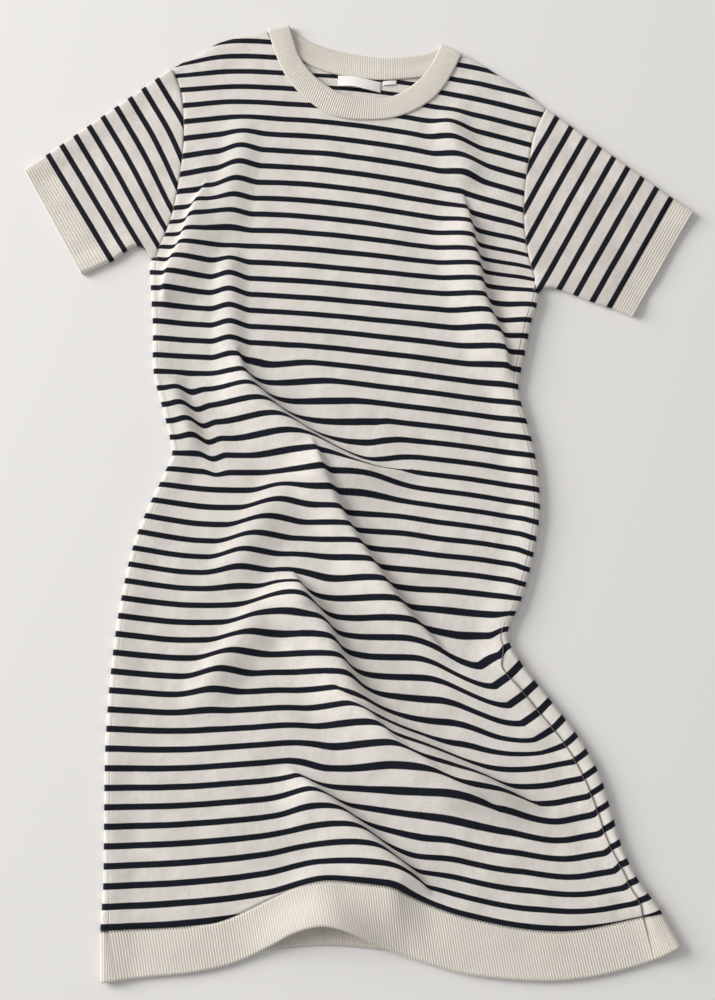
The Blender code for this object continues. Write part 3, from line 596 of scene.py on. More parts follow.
# %% Sleeve rings
SLEEVES = {
    # cuff seam, cuff edge, rise of the underarm edge, its peak, stripe pitch, extra stripes at the armpit
    "left": (((-393, 411), (-309, 272)), ((-418, 393), (-342, 256)), 18, 0.35, 20.9, 1.45),
    "right": (((394, 354), (313, 213)), ((418, 338), (338, 202)), 9, 0.22, 21.8, 0.2),
}
SLEEVE_PLATEAU, SLEEVE_ROLL, SLEEVE_FADE = 5.0, 7.5, 28.0
SLEEVE_RADIUS, SLEEVE_MIDDLE = 4.0, 3.4
FIRST_SLEEVE_STRIPE = 3.5  # from the cuff seam to the middle of the first stripe
LAST_SLEEVE_STRIPE = 9.45
FARTHEST_ARMHOLE = 178  # from the cuff seam
NEAR_ARMPIT = 16  # points of the armhole nearer than this make room for the fold under the arm


def sleeve_height(down, side, width):
    from_upper, from_lower = down * width, (1 - down) * width
    nearer = np.minimum(from_upper, from_lower)
    roll = (SLEEVE_ROLL - SLEEVE_PLATEAU) * (1 - ease((nearer - SLEEVE_RADIUS) / SLEEVE_FADE))
    top = SLEEVE_MIDDLE + (SLEEVE_PLATEAU + roll - SLEEVE_MIDDLE) * round_over(nearer, SLEEVE_RADIUS)
    return np.where(side > 0, top, SLEEVE_MIDDLE * (1 - round_over(nearer, SLEEVE_RADIUS)))


def sleeve_rim(front_edge, back_edge, outward):
    """The ring at the armhole, as place, share of the way down, and +1 on top or -1 below."""
    away = np.array([SEAM_GAP * outward, 0.0])
    corner = front_edge[-1, :2] + np.array([SEAM_GAP * outward, 5 * SEAM_GAP])
    fold = back_edge[-1, :2] + np.array([SEAM_GAP * outward, 3 * SEAM_GAP])
    over = [corner + (fold - corner) * part for part in (0.0, 0.25, 0.45, 0.62, 0.76, 0.87, 0.95, 1.0)]
    keep = np.hypot(*(front_edge[:-1, :2] - front_edge[-1, :2]).T) > NEAR_ARMPIT
    top = np.concatenate([front_edge[:-1, :2][keep] + away, over])
    along_top = np.concatenate([[0], np.cumsum(np.hypot(*np.diff(top, axis=0).T))])
    keep = np.hypot(*(back_edge[:-1, :2] - back_edge[-1, :2]).T) > NEAR_ARMPIT
    up_back = (back_edge[:-1, :2][keep] + away)[::-1]
    short = [fold + (up_back[0] - fold) * part for part in (0.04, 0.1, 0.18, 0.28, 0.42, 0.6, 0.8)]
    below = np.concatenate([short, up_back[:-1]])
    along_below = np.hypot(*(below - top[0]).T) / np.hypot(*(fold - top[0]))
    rim_top = np.concatenate([top, (along_top / along_top[-1])[:, None], np.ones((len(top), 1))], 1)
    rim_below = np.concatenate([below, along_below[:, None].clip(0, 1), -np.ones((len(below), 1))], 1)
    rim = np.concatenate([rim_top, rim_below])
    near_fold = np.maximum((0.03 - rim[:, 2]) / 0.03, (rim[:, 2] - 0.9) / 0.1).clip(0, 1)
    rim[:, 0] += outward * 4 * SEAM_GAP * near_fold
    return rim, along_top[-1]


def sleeve_ring(rim, armhole, seam, rise, peak, t):
    """The ring a share t of the way from the armhole to the cuff seam."""
    upper, lower = np.array(seam[0], float), np.array(seam[1], float)
    place, down, side = rim[:, :2], rim[:, 2], rim[:, 3]
    at_seam = upper + (lower - upper) * down[:, None]
    sooner = (1 - (1 - t) ** (1 + 14 * ease((down - 0.86) / 0.1)))[:, None]
    fold = place[np.argmax(down)]
    point = fold * (1 - t) + lower * t + (place - fold) * (1 - sooner) + (at_seam - lower) * sooner
    swell = abs(math.sin(math.pi * t ** (math.log(0.5) / math.log(peak)))) ** 1.5
    point[:, 1] += rise * swell * ease((down - 0.45) / 0.55)
    width = armhole * (1 - t) + float(np.hypot(*(upper - lower))) * t
    z = sleeve_height(down, side, width)
    calm = ease(down * width / 25) * ease((1 - down) * width / 25) * (side > 0)
    z = z + ripples(point[:, 0] * 1.1, point[:, 1]) * calm
    return np.concatenate([point, z[:, None]], 1)


def sleeve_stripe(ring, down, seam, pitch, extra):
    """Counts the stripes outwards from the cuff seam."""
    upper, lower = np.array(seam[0], float), np.array(seam[1], float)
    way = (lower - upper) / np.hypot(*(lower - upper))
    offset = ring[:, :2] - upper
    from_seam = np.abs(way[0] * offset[:, 1] - way[1] * offset[:, 0])
    more = extra * ease((down - 0.2) / 0.75) * np.clip(from_seam / FARTHEST_ARMHOLE, 0, 1) ** 2
    return np.minimum(1 + (from_seam - FIRST_SLEEVE_STRIPE) / pitch + more, LAST_SLEEVE_STRIPE)


EDGES = {
    "left": (front[:ARMPIT_ROW + 1, 0], back[:ARMPIT_ROW + 1, beyond], -1),
    "right": (front[:ARMPIT_ROW + 1, -1], back[:ARMPIT_ROW + 1, last_back - beyond], 1),
}
SLEEVE_STEPS = np.concatenate([[0.0, 0.012, 0.03, 0.055], np.linspace(0.09, 1.0, 36)])
sleeves = {}
for side_name, (front_edge, back_edge, outward) in EDGES.items():
    seam, cuff_edge, rise, peak, pitch, extra = SLEEVES[side_name]
    rim, armhole = sleeve_rim(front_edge, back_edge, outward)
    length = float(np.hypot(*(np.array(seam[0]) - rim[0, :2])))
    steps = np.minimum(SLEEVE_STEPS, 1 - SEAM_GAP / length)
    rings = np.stack([sleeve_ring(rim, armhole, seam, rise, peak, t) for t in steps])
    stripes = np.stack([sleeve_stripe(r, rim[:, 2], seam, pitch, extra) for r in rings])
    dip = SEAM_DIP * (1 - ease(steps * length / SEAM_DIP_WIDTH)) * 0.8
    rings[:, :, 2] -= dip[:, None] * np.where(rim[:, 3] > 0, 1, 0) * ease((rim[:, 2] - 0.02) / 0.05)
    cuff_length = float(np.hypot(*(np.array(cuff_edge[0]) - np.array(seam[0]))))
    cuff_rings, cuff_run = [], np.linspace(SEAM_GAP / 2 / cuff_length, 1, 56)
    for t in cuff_run:
        at = [tuple(np.array(a) + (np.array(b) - np.array(a)) * t) for a, b in zip(seam, cuff_edge)]
        cuff_rings.append(sleeve_ring(rim, armhole, at, 0, peak, 1.0))
    sleeves[side_name] = {
        "rings": rings, "stripes": stripes, "down": rim[:, 2], "side": rim[:, 3], "armhole": armhole,
        "cuff": np.stack(cuff_rings), "cuff_run": cuff_run * cuff_length, "outward": outward,
    }
    print(side_name, "sleeve, mm long:", round(length), "armhole:", round(armhole))

# %% [markdown]
# ## The deep ribbed hem
#
# The hem band is knitted in a rib and sewn to the last course. Its front stands up in a low arch where the
# cloth was left pushed together, so one looks under it at the inside of the back band. The band's own map
# counts millimetres across, which its ribs follow, and millimetres down.

# %% Hem band's points
LEFT_BAND, RIGHT_BAND = -296.9, 349.6  # where the hem seam meets the outline
HEM_LOW, HEM_HIGH = HEM_EDGE[0][0], HEM_EDGE[-1][0]


def band_points(seam, edge, rows, gap):
    """A band from a sewn line to its free edge, beginning a small gap away from the line."""
    step = edge - seam
    seam = seam + step / np.linalg.norm(step[:, :2], axis=1)[:, None] * gap
    t = np.linspace(0, 1, rows)[:, None, None]
    grid = seam + (edge - seam) * t
    grid[..., 2] = seam[:, 2] + (edge[:, 2] - seam[:, 2]) * ease(t[..., 0])
    return grid


def hem_edge_front(share):
    first, last = HEM_SEAM_LEFT + SEAM_GAP / 2, HEM_HIGH - HEM_LOW - HEM_SEAM_RIGHT - SEAM_GAP / 2
    x = HEM_LOW + first + (last - first) * share
    y = table_curve(HEM_EDGE, x)
    return np.stack([x, y, top_height(x, y, np.zeros_like(x), x - HEM_LOW, HEM_HIGH - x)], -1)


def hem_edge_back(points, wrap):
    """The back band's free edge, a place for each column of the back panel, over both side edges."""
    edge = np.zeros_like(points)
    side_columns = wrap + len(WRAP)
    for c in range(len(points)):
        left_side = c < side_columns
        k = c if left_side else len(points) - 1 - c
        inset = HEM_SEAM_LEFT if left_side else HEM_SEAM_RIGHT
        if k < side_columns:
            seam_at = inset - SEAM_GAP / 2
            over = [EDGE_RADIUS + (seam_at - EDGE_RADIUS) * part for part in BESIDE_SEAM]
            over += [EDGE_RADIUS * part for part in WRAP[:-1] + WRAP[::-1]]
            distance = over[k]
            x = HEM_LOW + distance if left_side else HEM_HIGH - distance
            table = HEM_EDGE if k < wrap else BACK_HEM
        else:
            x = HEM_LOW + (points[c, 0] - LEFT_BAND) / (RIGHT_BAND - LEFT_BAND) * (HEM_HIGH - HEM_LOW)
            table = BACK_HEM
        x = np.array([x], float)
        y = table_curve(table, x)
        if k < wrap:
            z = top_height(x, y, np.zeros(1), x - HEM_LOW, HEM_HIGH - x)
        else:
            z = under_height(y, x - HEM_LOW, HEM_HIGH - x)
        edge[c] = (x[0], y[0], z[0])
    return edge


BAND_ROWS = 16
hem_front = band_points(front[-1], hem_edge_front(COLUMNS), BAND_ROWS, SEAM_GAP)
hem_back = band_points(back[-1], hem_edge_back(back[-1], beyond), BAND_ROWS, 2.5 * SEAM_GAP)
deep = np.linalg.norm(hem_front[-1] - hem_front[0], axis=1)
print("hem band, mm deep:", round(deep.min(), 1), "to", round(deep.max(), 1))

# %% [markdown]
# ## Ribs by Geometry Nodes
#
# In a rib knit, columns of stitches stand forward and others lie back. That is a rule that follows the sheet,
# so a small node tree makes it: each point moves along its normal by a wave of the sheet's own map. The
# pitch and the depth are inputs of the tree, so the collar, the cuffs and the hem share it. A slow second
# wave makes some ribs stand less, as where a band was stretched or pressed.

# %% The rib tree
def node(tree, kind, **settings):
    made = tree.nodes.new(kind)
    for key, value in settings.items():
        setattr(made, key, value)
    return made


def plug(tree, socket, value):
    """Links a socket to an input, or gives the input a plain value."""
    if isinstance(value, bpy.types.NodeSocket):
        tree.links.new(value, socket)
    else:
        socket.default_value = value


def maths(tree, operation, *values, clamp=False):
    made = node(tree, "ShaderNodeMath", operation=operation, use_clamp=clamp)
    for socket, value in zip(made.inputs, values):
        plug(tree, socket, value)
    return made.outputs[0]


def geometry_tree(name, inputs):
    """An empty tree with named inputs, given as name and kind of socket."""
    tree = bpy.data.node_groups.new(name, "GeometryNodeTree")
    tree.interface.new_socket("Geometry", in_out="INPUT", socket_type="NodeSocketGeometry")
    for title, kind in inputs:
        tree.interface.new_socket(title, in_out="INPUT", socket_type=kind)
    tree.interface.new_socket("Geometry", in_out="OUTPUT", socket_type="NodeSocketGeometry")
    return tree, node(tree, "NodeGroupInput"), node(tree, "NodeGroupOutput")


def set_inputs(modifier, **values):
    """Sets a tree's inputs by their sockets' identifiers."""
    for item in modifier.node_group.interface.items_tree:
        if item.in_out == "INPUT" and item.name in values:
            modifier[item.identifier] = values[item.name]


def rib_tree():
    tree, given, result = geometry_tree("Ribs", [
        ("Pitch", "NodeSocketFloat"), ("Depth", "NodeSocketFloat"), ("Along", "NodeSocketInt"),
        ("Pressed", "NodeSocketFloat"), ("Material", "NodeSocketMaterial")])
    knit = node(tree, "GeometryNodeInputNamedAttribute", data_type="FLOAT_VECTOR")
    knit.inputs["Name"].default_value = "knit"
    parts = node(tree, "ShaderNodeSeparateXYZ")
    tree.links.new(knit.outputs["Attribute"], parts.inputs[0])
    which = node(tree, "GeometryNodeSwitch", input_type="FLOAT")
    plug(tree, which.inputs["Switch"], given.outputs["Along"])
    plug(tree, which.inputs["False"], parts.outputs["X"])
    plug(tree, which.inputs["True"], parts.outputs["Y"])
    turns = maths(tree, "DIVIDE", which.outputs[0], given.outputs["Pitch"])
    wave = maths(tree, "COSINE", maths(tree, "MULTIPLY", turns, math.tau))
    slow = maths(tree, "SINE", maths(tree, "MULTIPLY", parts.outputs["X"], math.tau / 210))
    stands = maths(tree, "SUBTRACT", 1.0, maths(tree, "MULTIPLY", maths(tree, "ADD", slow, 1.0),
                                                 maths(tree, "MULTIPLY", given.outputs["Pressed"], 0.5)))
    rise = maths(tree, "MULTIPLY", maths(tree, "MULTIPLY", wave, stands),
                 maths(tree, "MULTIPLY", given.outputs["Depth"], 0.5))
    normal = node(tree, "GeometryNodeInputNormal")
    offset = node(tree, "ShaderNodeVectorMath", operation="SCALE")
    tree.links.new(normal.outputs[0], offset.inputs[0])
    plug(tree, offset.inputs["Scale"], rise)
    move = node(tree, "GeometryNodeSetPosition")
    tree.links.new(given.outputs["Geometry"], move.inputs["Geometry"])
    tree.links.new(offset.outputs[0], move.inputs["Offset"])
    real = node(tree, "GeometryNodeRealizeInstances")
    tree.links.new(move.outputs[0], real.inputs[0])
    finish = node(tree, "GeometryNodeSetMaterial")
    tree.links.new(real.outputs[0], finish.inputs["Geometry"])
    tree.links.new(given.outputs["Material"], finish.inputs["Material"])
    tree.links.new(finish.outputs[0], result.inputs[0])
    return tree


RIBS = rib_tree()


def raise_ribs(obj, pitch, depth, along, pressed, material):
    """Ribs across the sheet, or along it, with sizes in millimetres."""
    modifier = obj.modifiers.new("ribs", "NODES")
    modifier.node_group = RIBS
    set_inputs(modifier, Pitch=pitch, Depth=depth / 1000, Along=along, Pressed=pressed, Material=material)


def finer(grid, columns):
    """The same sheet with more columns, evenly spaced along its lower edge."""
    run = np.concatenate([[0], np.cumsum(np.linalg.norm(np.diff(grid[-1], axis=0), axis=1))])
    wanted = np.linspace(0, run[-1], columns)
    return np.stack([np.stack([np.interp(wanted, run, row[:, k]) for k in range(3)], 1) for row in grid])


hem_knit, cuff_knit, collar_knit = (
    bpy.data.materials.new(title + "_rib_knit") for title in ("hem", "cuff", "collar"))
print("inputs of the rib tree:", [i.name for i in RIBS.interface.items_tree if i.in_out == "INPUT"])

# %% [markdown]
# ## From points to a piece of cloth
#
# One helper turns any grid of points into a mesh with its map. Its across and down values are stored in a UV
# map, because a knit pattern has to follow the sheet and not the room. The rib tree comes first where the
# piece is a rib, and Solidify gives the wall afterwards, towards the inside. Both modifiers are applied at
# once, so that what follows works on plain meshes.

# %% Cloth from a grid
def apply_modifiers(obj):
    """Turns what the modifiers make into the object's own plain mesh."""
    settled = obj.evaluated_get(bpy.context.evaluated_depsgraph_get())
    plain = bpy.data.meshes.new_from_object(settled)
    obj.modifiers.clear()
    old, obj.data = obj.data, plain
    bpy.data.meshes.remove(old)
    return obj


def cloth(name, grid, down, across, wall, ring=False, kept=None, flip=False, ribs=None):
    """A sheet through rows of points, with its wall inwards. A ring closes on its first column."""
    if flip:
        grid, down, across = grid[:, ::-1], down[:, ::-1], across[:, ::-1]
    rows, columns = grid.shape[:2]
    steps = columns if ring else columns - 1
    build = bmesh.new()
    verts = [build.verts.new(p) for p in (grid / 1000).reshape(-1, 3)]
    layer = build.loops.layers.uv.new("knit")
    for r in range(rows - 1):
        for c in range(steps):
            if kept is not None and not kept(r, columns - 2 - c if flip else c):
                continue
            corners = [(r + 1, c), (r + 1, c + 1), (r, c + 1), (r, c)]
            face = build.faces.new([verts[i * columns + k % columns] for i, k in corners])
            face.smooth = True
            for loop, (i, k) in zip(face.loops, corners):
                u = across[i, k] if k < across.shape[1] else across[i, 0] + across[i, -1] - across[i, -2]
                loop[layer].uv = (u, down[i, k % columns])
    bmesh.ops.delete(build, geom=[v for v in build.verts if not v.link_faces], context="VERTS")
    mesh = bpy.data.meshes.new(name)
    build.to_mesh(mesh)
    build.free()
    obj = bpy.data.objects.new(name, mesh)
    bpy.context.scene.collection.objects.link(obj)
    if ribs is not None:
        raise_ribs(obj, *ribs)
    solid = obj.modifiers.new("wall", "SOLIDIFY")
    solid.thickness = wall / 1000
    solid.offset = -1
    return apply_modifiers(obj)


def back_kept(r, c):
    """The cloth that goes round the edges begins at the armpits."""
    return beyond <= c < last_back - beyond or r >= ARMPIT_ROW


def band_map(grid, start=0.0):
    across = np.concatenate([[0], np.cumsum(np.linalg.norm(np.diff(grid[-1], axis=0), axis=1))]) + start
    down = np.linalg.norm(grid - grid[0], axis=2)
    return down, np.broadcast_to(across, down.shape).copy()


HEM_PITCH, HEM_DEPTH, HEM_PRESSED = 3.2, 0.6, 0.35
FRONT_BAND_COLUMNS, BACK_BAND_COLUMNS = 1360, 1500  # about seven to a rib
body_front = cloth("body_front_cloth", front, front_course, front_across, CLOTH)
body_back = cloth("body_back_cloth", back, back_course, back_across, CLOTH, kept=back_kept, flip=True)
front_band = finer(hem_front, FRONT_BAND_COLUMNS)
back_band = finer(hem_back, BACK_BAND_COLUMNS)
hem_ribs = (HEM_PITCH, HEM_DEPTH, 0, HEM_PRESSED, hem_knit)
hem_rib_front = cloth("hem_front_rib", front_band, *band_map(front_band), RIB, ribs=hem_ribs)
hem_rib_back = cloth("hem_back_rib", back_band, *band_map(back_band), RIB, flip=True, ribs=hem_ribs)
CUFF_PITCH, CUFF_DEPTH = 3.4, 0.4
for side_name, sleeve in sleeves.items():
    top_first = sleeve["outward"] > 0
    around = np.where(sleeve["side"] > 0, sleeve["down"], 2 - sleeve["down"]) * sleeve["armhole"]
    around = np.broadcast_to(around, sleeve["stripes"].shape).copy()
    sleeve["cloth"] = cloth("sleeve_" + side_name + "_cloth", sleeve["rings"], sleeve["stripes"], around,
                            CLOTH, ring=True, flip=top_first)
    run = np.broadcast_to(sleeve["cuff_run"][:, None], sleeve["cuff"].shape[:2]).copy()
    around = np.broadcast_to(around[0], run.shape).copy()
    sleeve["rib"] = cloth("cuff_" + side_name + "_rib", sleeve["cuff"], run, around, RIB, ring=True,
                          flip=top_first, ribs=(CUFF_PITCH, CUFF_DEPTH, 1, 0.0, cuff_knit))
print("faces of the front:", len(body_front.data.polygons))

# %% [markdown]
# ## The collar
#
# The collar is a strip of rib sewn round the neck and turned at the shoulders. Seen from above it is a ring:
# the front half stands over the panel's edge, the back half lies low behind the neck. Both halves are made
# by the same rule, as points across the rib at stations along it, and joined at the two shoulder folds.

# %% Collar ring
COLLAR_TOP, COLLAR_BEND, COLLAR_MIDDLE, COLLAR_LIFT = 7.6, 4.5, 3.7, 1.9


def collar_strip(rows, stations, count, on_top):
    run = np.concatenate([[0], np.cumsum([math.dist(a[:2], b[:2]) for a, b in zip(rows, rows[1:])])])
    inner = [spline(run, [row[k] for row in rows], stations * run[-1]) for k in range(4)]
    across = np.linspace(0, 1, count)[:, None]
    x = inner[0] + (inner[2] - inner[0]) * across
    y = inner[1] + (inner[3] - inner[1]) * across
    reach = np.minimum(stations, 1 - stations) * run[-1]
    turn = round_over(reach, COLLAR_BEND)
    if on_top:
        crown = 0.5 * np.sin(np.pi * across) - 0.5
        z = COLLAR_MIDDLE + (COLLAR_TOP + crown - COLLAR_MIDDLE) * turn
    else:
        lying = COLLAR_LIFT * (1 - ease((across - 0.15) / 0.5)) * ease((reach - 1.5) / 6)
        z = COLLAR_MIDDLE + (lying - COLLAR_MIDDLE) * turn
    return np.stack([x, y, z], -1), stations * run[-1], run[-1]


turn_stations = np.array([0.0, 0.0012, 0.0035, 0.007, 0.012, 0.018, 0.026])
stations = np.concatenate([turn_stations, np.linspace(0.029, 0.971, 900), 1 - turn_stations[::-1]])
COLLAR_ROWS = 14
COLLAR_PITCH, COLLAR_DEPTH, COLLAR_PRESSED = 3.0, 0.65, 0.5
collar_top, run_top, length_top = collar_strip(COLLAR_FRONT, stations, COLLAR_ROWS, True)
collar_low, run_low, length_low = collar_strip(COLLAR_BACK, stations[1:-1], COLLAR_ROWS, False)
collar_points = np.concatenate([collar_top, collar_low], 1)[::-1]
collar_run = np.concatenate([run_top, length_top + run_low])
collar_across = np.linalg.norm(collar_points - collar_points[-1], axis=2)
collar_down = np.broadcast_to(collar_run, collar_across.shape).copy()
rib_pairs = round((length_top + length_low) / COLLAR_PITCH / 2)
collar_pitch = (length_top + length_low) / rib_pairs / 2  # so that the ring closes on a whole rib
collar = cloth("collar_rib", collar_points, collar_across, collar_down, RIB, ring=True,
               ribs=(collar_pitch, COLLAR_DEPTH, 0, COLLAR_PRESSED, collar_knit))
print("collar, mm round:", round(length_top + length_low), "wide:", round(collar_across.max(), 1))

# %% [markdown]
# ## Label and tab
#
# A blank woven label and a narrow tab are sewn in just below the back of the collar. The label bows up in its
# middle, as a stiff tape does between its stitches. Its ends are pressed flat.

# %% Woven tapes
LABEL = (1.5, 54.0, 14.0, 4.2)  # place across, width, height, arch
TAB = (40.0, 17.0, 5.5, 1.0)
TAPE, TAPE_LIES = 0.8, 1.9  # the tape's own thickness, and the height of the cloth under it
BELOW_SEAM = 1.8
BACK_SEAM_X = [row[0] for row in COLLAR_BACK[::-1]]
BACK_SEAM_Y = [row[1] for row in COLLAR_BACK[::-1]]


def tape(name, place, width, deep, rise, bow, rows=16, columns=48):
    across = np.linspace(-0.5, 0.5, columns)
    down = np.linspace(0, 1, rows)[:, None]
    x = np.broadcast_to(place + width * across, (rows, columns))
    y = np.interp(place + width * across, BACK_SEAM_X, BACK_SEAM_Y) - BELOW_SEAM - deep * down
    y = y + bow * np.exp(-((across + 0.14) / 0.2) ** 2) - bow * 0.6 * ease((across - 0.1) / 0.4)
    z = TAPE_LIES + TAPE + rise * (1 - (2 * across) ** 2) * (0.75 + 0.25 * down)
    edge = np.minimum(np.minimum(down, 1 - down) * deep, (0.5 - np.abs(across)) * width)
    z = z - 0.2 * (1 - ease(edge / 0.7))
    mm_across = np.broadcast_to(across * width, x.shape).copy()
    mm_down = np.broadcast_to(down * deep, x.shape).copy()
    return cloth(name, np.stack([x, y, z], -1), mm_down, mm_across, TAPE)


label = tape("blank_label", *LABEL, 2.4)
tab = tape("small_tab", *TAB, 0.0)
print("label, mm:", [round(v * 1000, 1) for v in label.dimensions])

# %% [markdown]
# ## Seams and stitches
#
# A knit garment is sewn with an overlock, which shows outside as a low welt with thread sunk into it. One
# node tree makes both kinds of sewing from a line on the cloth: it cuts the line into even lengths, puts a
# short thread on each point, turned along the line, and turns the copies into real mesh.

# %% The stitch tree
def thread_mesh():
    """One short stitch of thread, 1 mm long and thick, to be scaled by the tree."""
    mesh = bpy.data.meshes.new("thread")
    build = bmesh.new()
    bmesh.ops.create_uvsphere(build, u_segments=6, v_segments=5, radius=0.5)
    for face in build.faces:
        face.smooth = True
    build.to_mesh(mesh)
    build.free()
    return mesh


def stitch_tree():
    tree, given, result = geometry_tree("Stitches", [
        ("Spacing", "NodeSocketFloat"), ("Length", "NodeSocketFloat"), ("Thickness", "NodeSocketFloat"),
        ("Slant", "NodeSocketFloat"), ("Thread", "NodeSocketObject"), ("Seed", "NodeSocketInt"),
        ("Material", "NodeSocketMaterial")])
    line = node(tree, "GeometryNodeMeshToCurve")
    tree.links.new(given.outputs["Geometry"], line.inputs[0])
    points = node(tree, "GeometryNodeCurveToPoints", mode="LENGTH")
    tree.links.new(line.outputs[0], points.inputs["Curve"])
    plug(tree, points.inputs["Length"], given.outputs["Spacing"])
    wobble = node(tree, "FunctionNodeRandomValue", data_type="FLOAT")
    wobble.inputs[2].default_value = -0.12
    wobble.inputs[3].default_value = 0.12
    plug(tree, wobble.inputs["Seed"], given.outputs["Seed"])
    lean = node(tree, "ShaderNodeCombineXYZ")
    plug(tree, lean.inputs["Z"], maths(tree, "ADD", wobble.outputs[1], given.outputs["Slant"]))
    turn = node(tree, "FunctionNodeAlignRotationToVector", axis="X")
    tree.links.new(points.outputs["Tangent"], turn.inputs["Vector"])
    tilt = node(tree, "FunctionNodeRotateRotation", rotation_space="LOCAL")
    tree.links.new(turn.outputs[0], tilt.inputs["Rotation"])
    tree.links.new(lean.outputs[0], tilt.inputs["Rotate By"])
    thread = node(tree, "GeometryNodeObjectInfo")
    tree.links.new(given.outputs["Thread"], thread.inputs["Object"])
    size = node(tree, "ShaderNodeCombineXYZ")
    plug(tree, size.inputs["X"], given.outputs["Length"])
    plug(tree, size.inputs["Y"], given.outputs["Thickness"])
    plug(tree, size.inputs["Z"], given.outputs["Thickness"])
    copies = node(tree, "GeometryNodeInstanceOnPoints")
    tree.links.new(points.outputs["Points"], copies.inputs["Points"])
    tree.links.new(thread.outputs["Geometry"], copies.inputs["Instance"])
    tree.links.new(tilt.outputs[0], copies.inputs["Rotation"])
    tree.links.new(size.outputs[0], copies.inputs["Scale"])
    real = node(tree, "GeometryNodeRealizeInstances")
    tree.links.new(copies.outputs[0], real.inputs[0])
    finish = node(tree, "GeometryNodeSetMaterial")
    tree.links.new(real.outputs[0], finish.inputs["Geometry"])
    tree.links.new(given.outputs["Material"], finish.inputs["Material"])
    tree.links.new(finish.outputs[0], result.inputs[0])
    return tree


STITCHES = stitch_tree()
thread = bpy.data.objects.new("thread", thread_mesh())
bpy.context.scene.collection.objects.link(thread)


def sew(name, lines, spacing, length, thickness, material, slant=0.0, seed=1):
    """Stitches along lines of points, all in millimetres, as one plain mesh."""
    mesh = bpy.data.meshes.new(name)
    points, edges = [], []
    for line in lines:
        first = len(points)
        points += [tuple(p / 1000) for p in line]
        edges += [(first + i, first + i + 1) for i in range(len(line) - 1)]
    mesh.from_pydata(points, edges, [])
    obj = bpy.data.objects.new(name, mesh)
    bpy.context.scene.collection.objects.link(obj)
    modifier = obj.modifiers.new("stitches", "NODES")
    modifier.node_group = STITCHES
    set_inputs(modifier, Spacing=spacing / 1000, Length=length / 1000, Thickness=thickness / 1000,
               Slant=slant, Thread=thread, Seed=seed, Material=material)
    return apply_modifiers(obj)


def lifted(line, height):
    line = np.array(line, float)
    line[:, 2] += height
    return line


cream_thread = bpy.data.materials.new("cream_thread")
white_thread = bpy.data.materials.new("white_thread")
SIDE_SEAM_FROM = 110  # rows below the armpit, where the right side seam comes far enough in to show thread
armholes = [lifted(front[2:ARMPIT_ROW + 1, 0], 0.1), lifted(front[2:ARMPIT_ROW + 1, -1], 0.1)]
side_seams = [front[ARMPIT_ROW + SIDE_SEAM_FROM:-1, -1]]
hem_line = lifted((front[-1] + hem_front[0]) / 2, 0.15)
cuff_lines = [lifted(sleeve["cuff"][0][sleeve["side"] > 0][2:-3], 0.1) for sleeve in sleeves.values()]
print("seams on top, mm:", [round(float(np.linalg.norm(np.diff(line, axis=0), axis=1).sum()))
                            for line in armholes + side_seams + [hem_line]])

# %% [markdown]
# The collar's seam shows as a row of small stitches just outside the rib, and the label and tab are held by
# white thread at their ends. The right cuff has a faint row of topstitching a few millimetres from its
# edge. Their lines come from the points and sizes of the pieces already made, so they lie on the cloth.

# %% Rows of stitches
OVERLOCK = (2.1, 1.7, 0.45)  # spacing, length and thickness of a stitch
collar_seam = lifted(collar_top[0][8:-8:6], -2.6)
way_x, way_y = np.gradient(collar_seam[:, 0]), np.gradient(collar_seam[:, 1])
collar_seam[:, :2] += 0.9 * np.stack([way_y, -way_x], 1) / np.hypot(way_x, way_y)[:, None]


def tape_end(place, width, deep, rise, side):
    """The line of stitches down one end of a tape, -1 for the left end and 1 for the right."""
    in_from_end, in_from_edge = 1.6, 1.2
    across = (0.5 - in_from_end / width) * side
    x = place + width * across
    top = np.interp(x, BACK_SEAM_X, BACK_SEAM_Y) - BELOW_SEAM
    z = TAPE_LIES + TAPE + rise * (1 - (2 * across) ** 2) + 0.05
    return np.array([(x, top - in_from_edge, z), (x, top - deep + in_from_edge, z)])


seams_on_top = armholes + side_seams + cuff_lines
tape_ends = [tape_end(*sizes, side) for sizes in (LABEL, TAB) for side in (-1, 1)]
seam_threads = sew("seam_threads", seams_on_top, *OVERLOCK, cream_thread, slant=0.5)
hem_threads = sew("hem_seam_threads", [hem_line], *OVERLOCK, cream_thread, slant=0.6, seed=2)
collar_threads = sew("collar_seam_threads", [collar_seam], 2.2, 1.8, 0.5, cream_thread, slant=0.3, seed=3)
label_threads = sew("label_threads", tape_ends, 1.5, 1.1, 0.35, white_thread, seed=4)
cuff = sleeves["right"]["cuff"]
edge_row = int(len(cuff) * 0.8)
topstitch = sew("cuff_topstitch", [lifted(cuff[edge_row][sleeves["right"]["side"] > 0][3:-5], 0.12)],
                2.6, 1.9, 0.35, cream_thread, seed=5)
bpy.data.objects.remove(thread)
print("faces of the stitches:", sum(len(o.data.polygons) for o in
      (seam_threads, hem_threads, collar_threads, label_threads, topstitch)))

# %% [markdown]
# ## The striped jersey
#
# The stripes are knitted in, so their colour comes from the map that counts the courses: navy where the
# course number is within a sixth of a whole one. The edge of a stripe steps with the stitches, so a very
# fine wave shifts it. Each stitch of jersey is a little V, made here as bump from the same map, in stitches
# of 1.25 mm. A soft sheen stands for the fuzz of the yarn, and slow noise keeps the cream from being flat.

# %% Jersey material
def material_nodes(material):
    material.use_nodes = True
    tree = material.node_tree
    return tree, tree.nodes["Principled BSDF"]


def noise(tree, vector, scale, detail=2.0, roughness=0.5):
    made = node(tree, "ShaderNodeTexNoise")
    plug(tree, made.inputs["Vector"], vector)
    for title, value in (("Scale", scale), ("Detail", detail), ("Roughness", roughness)):
        made.inputs[title].default_value = value
    return made.outputs["Fac"]


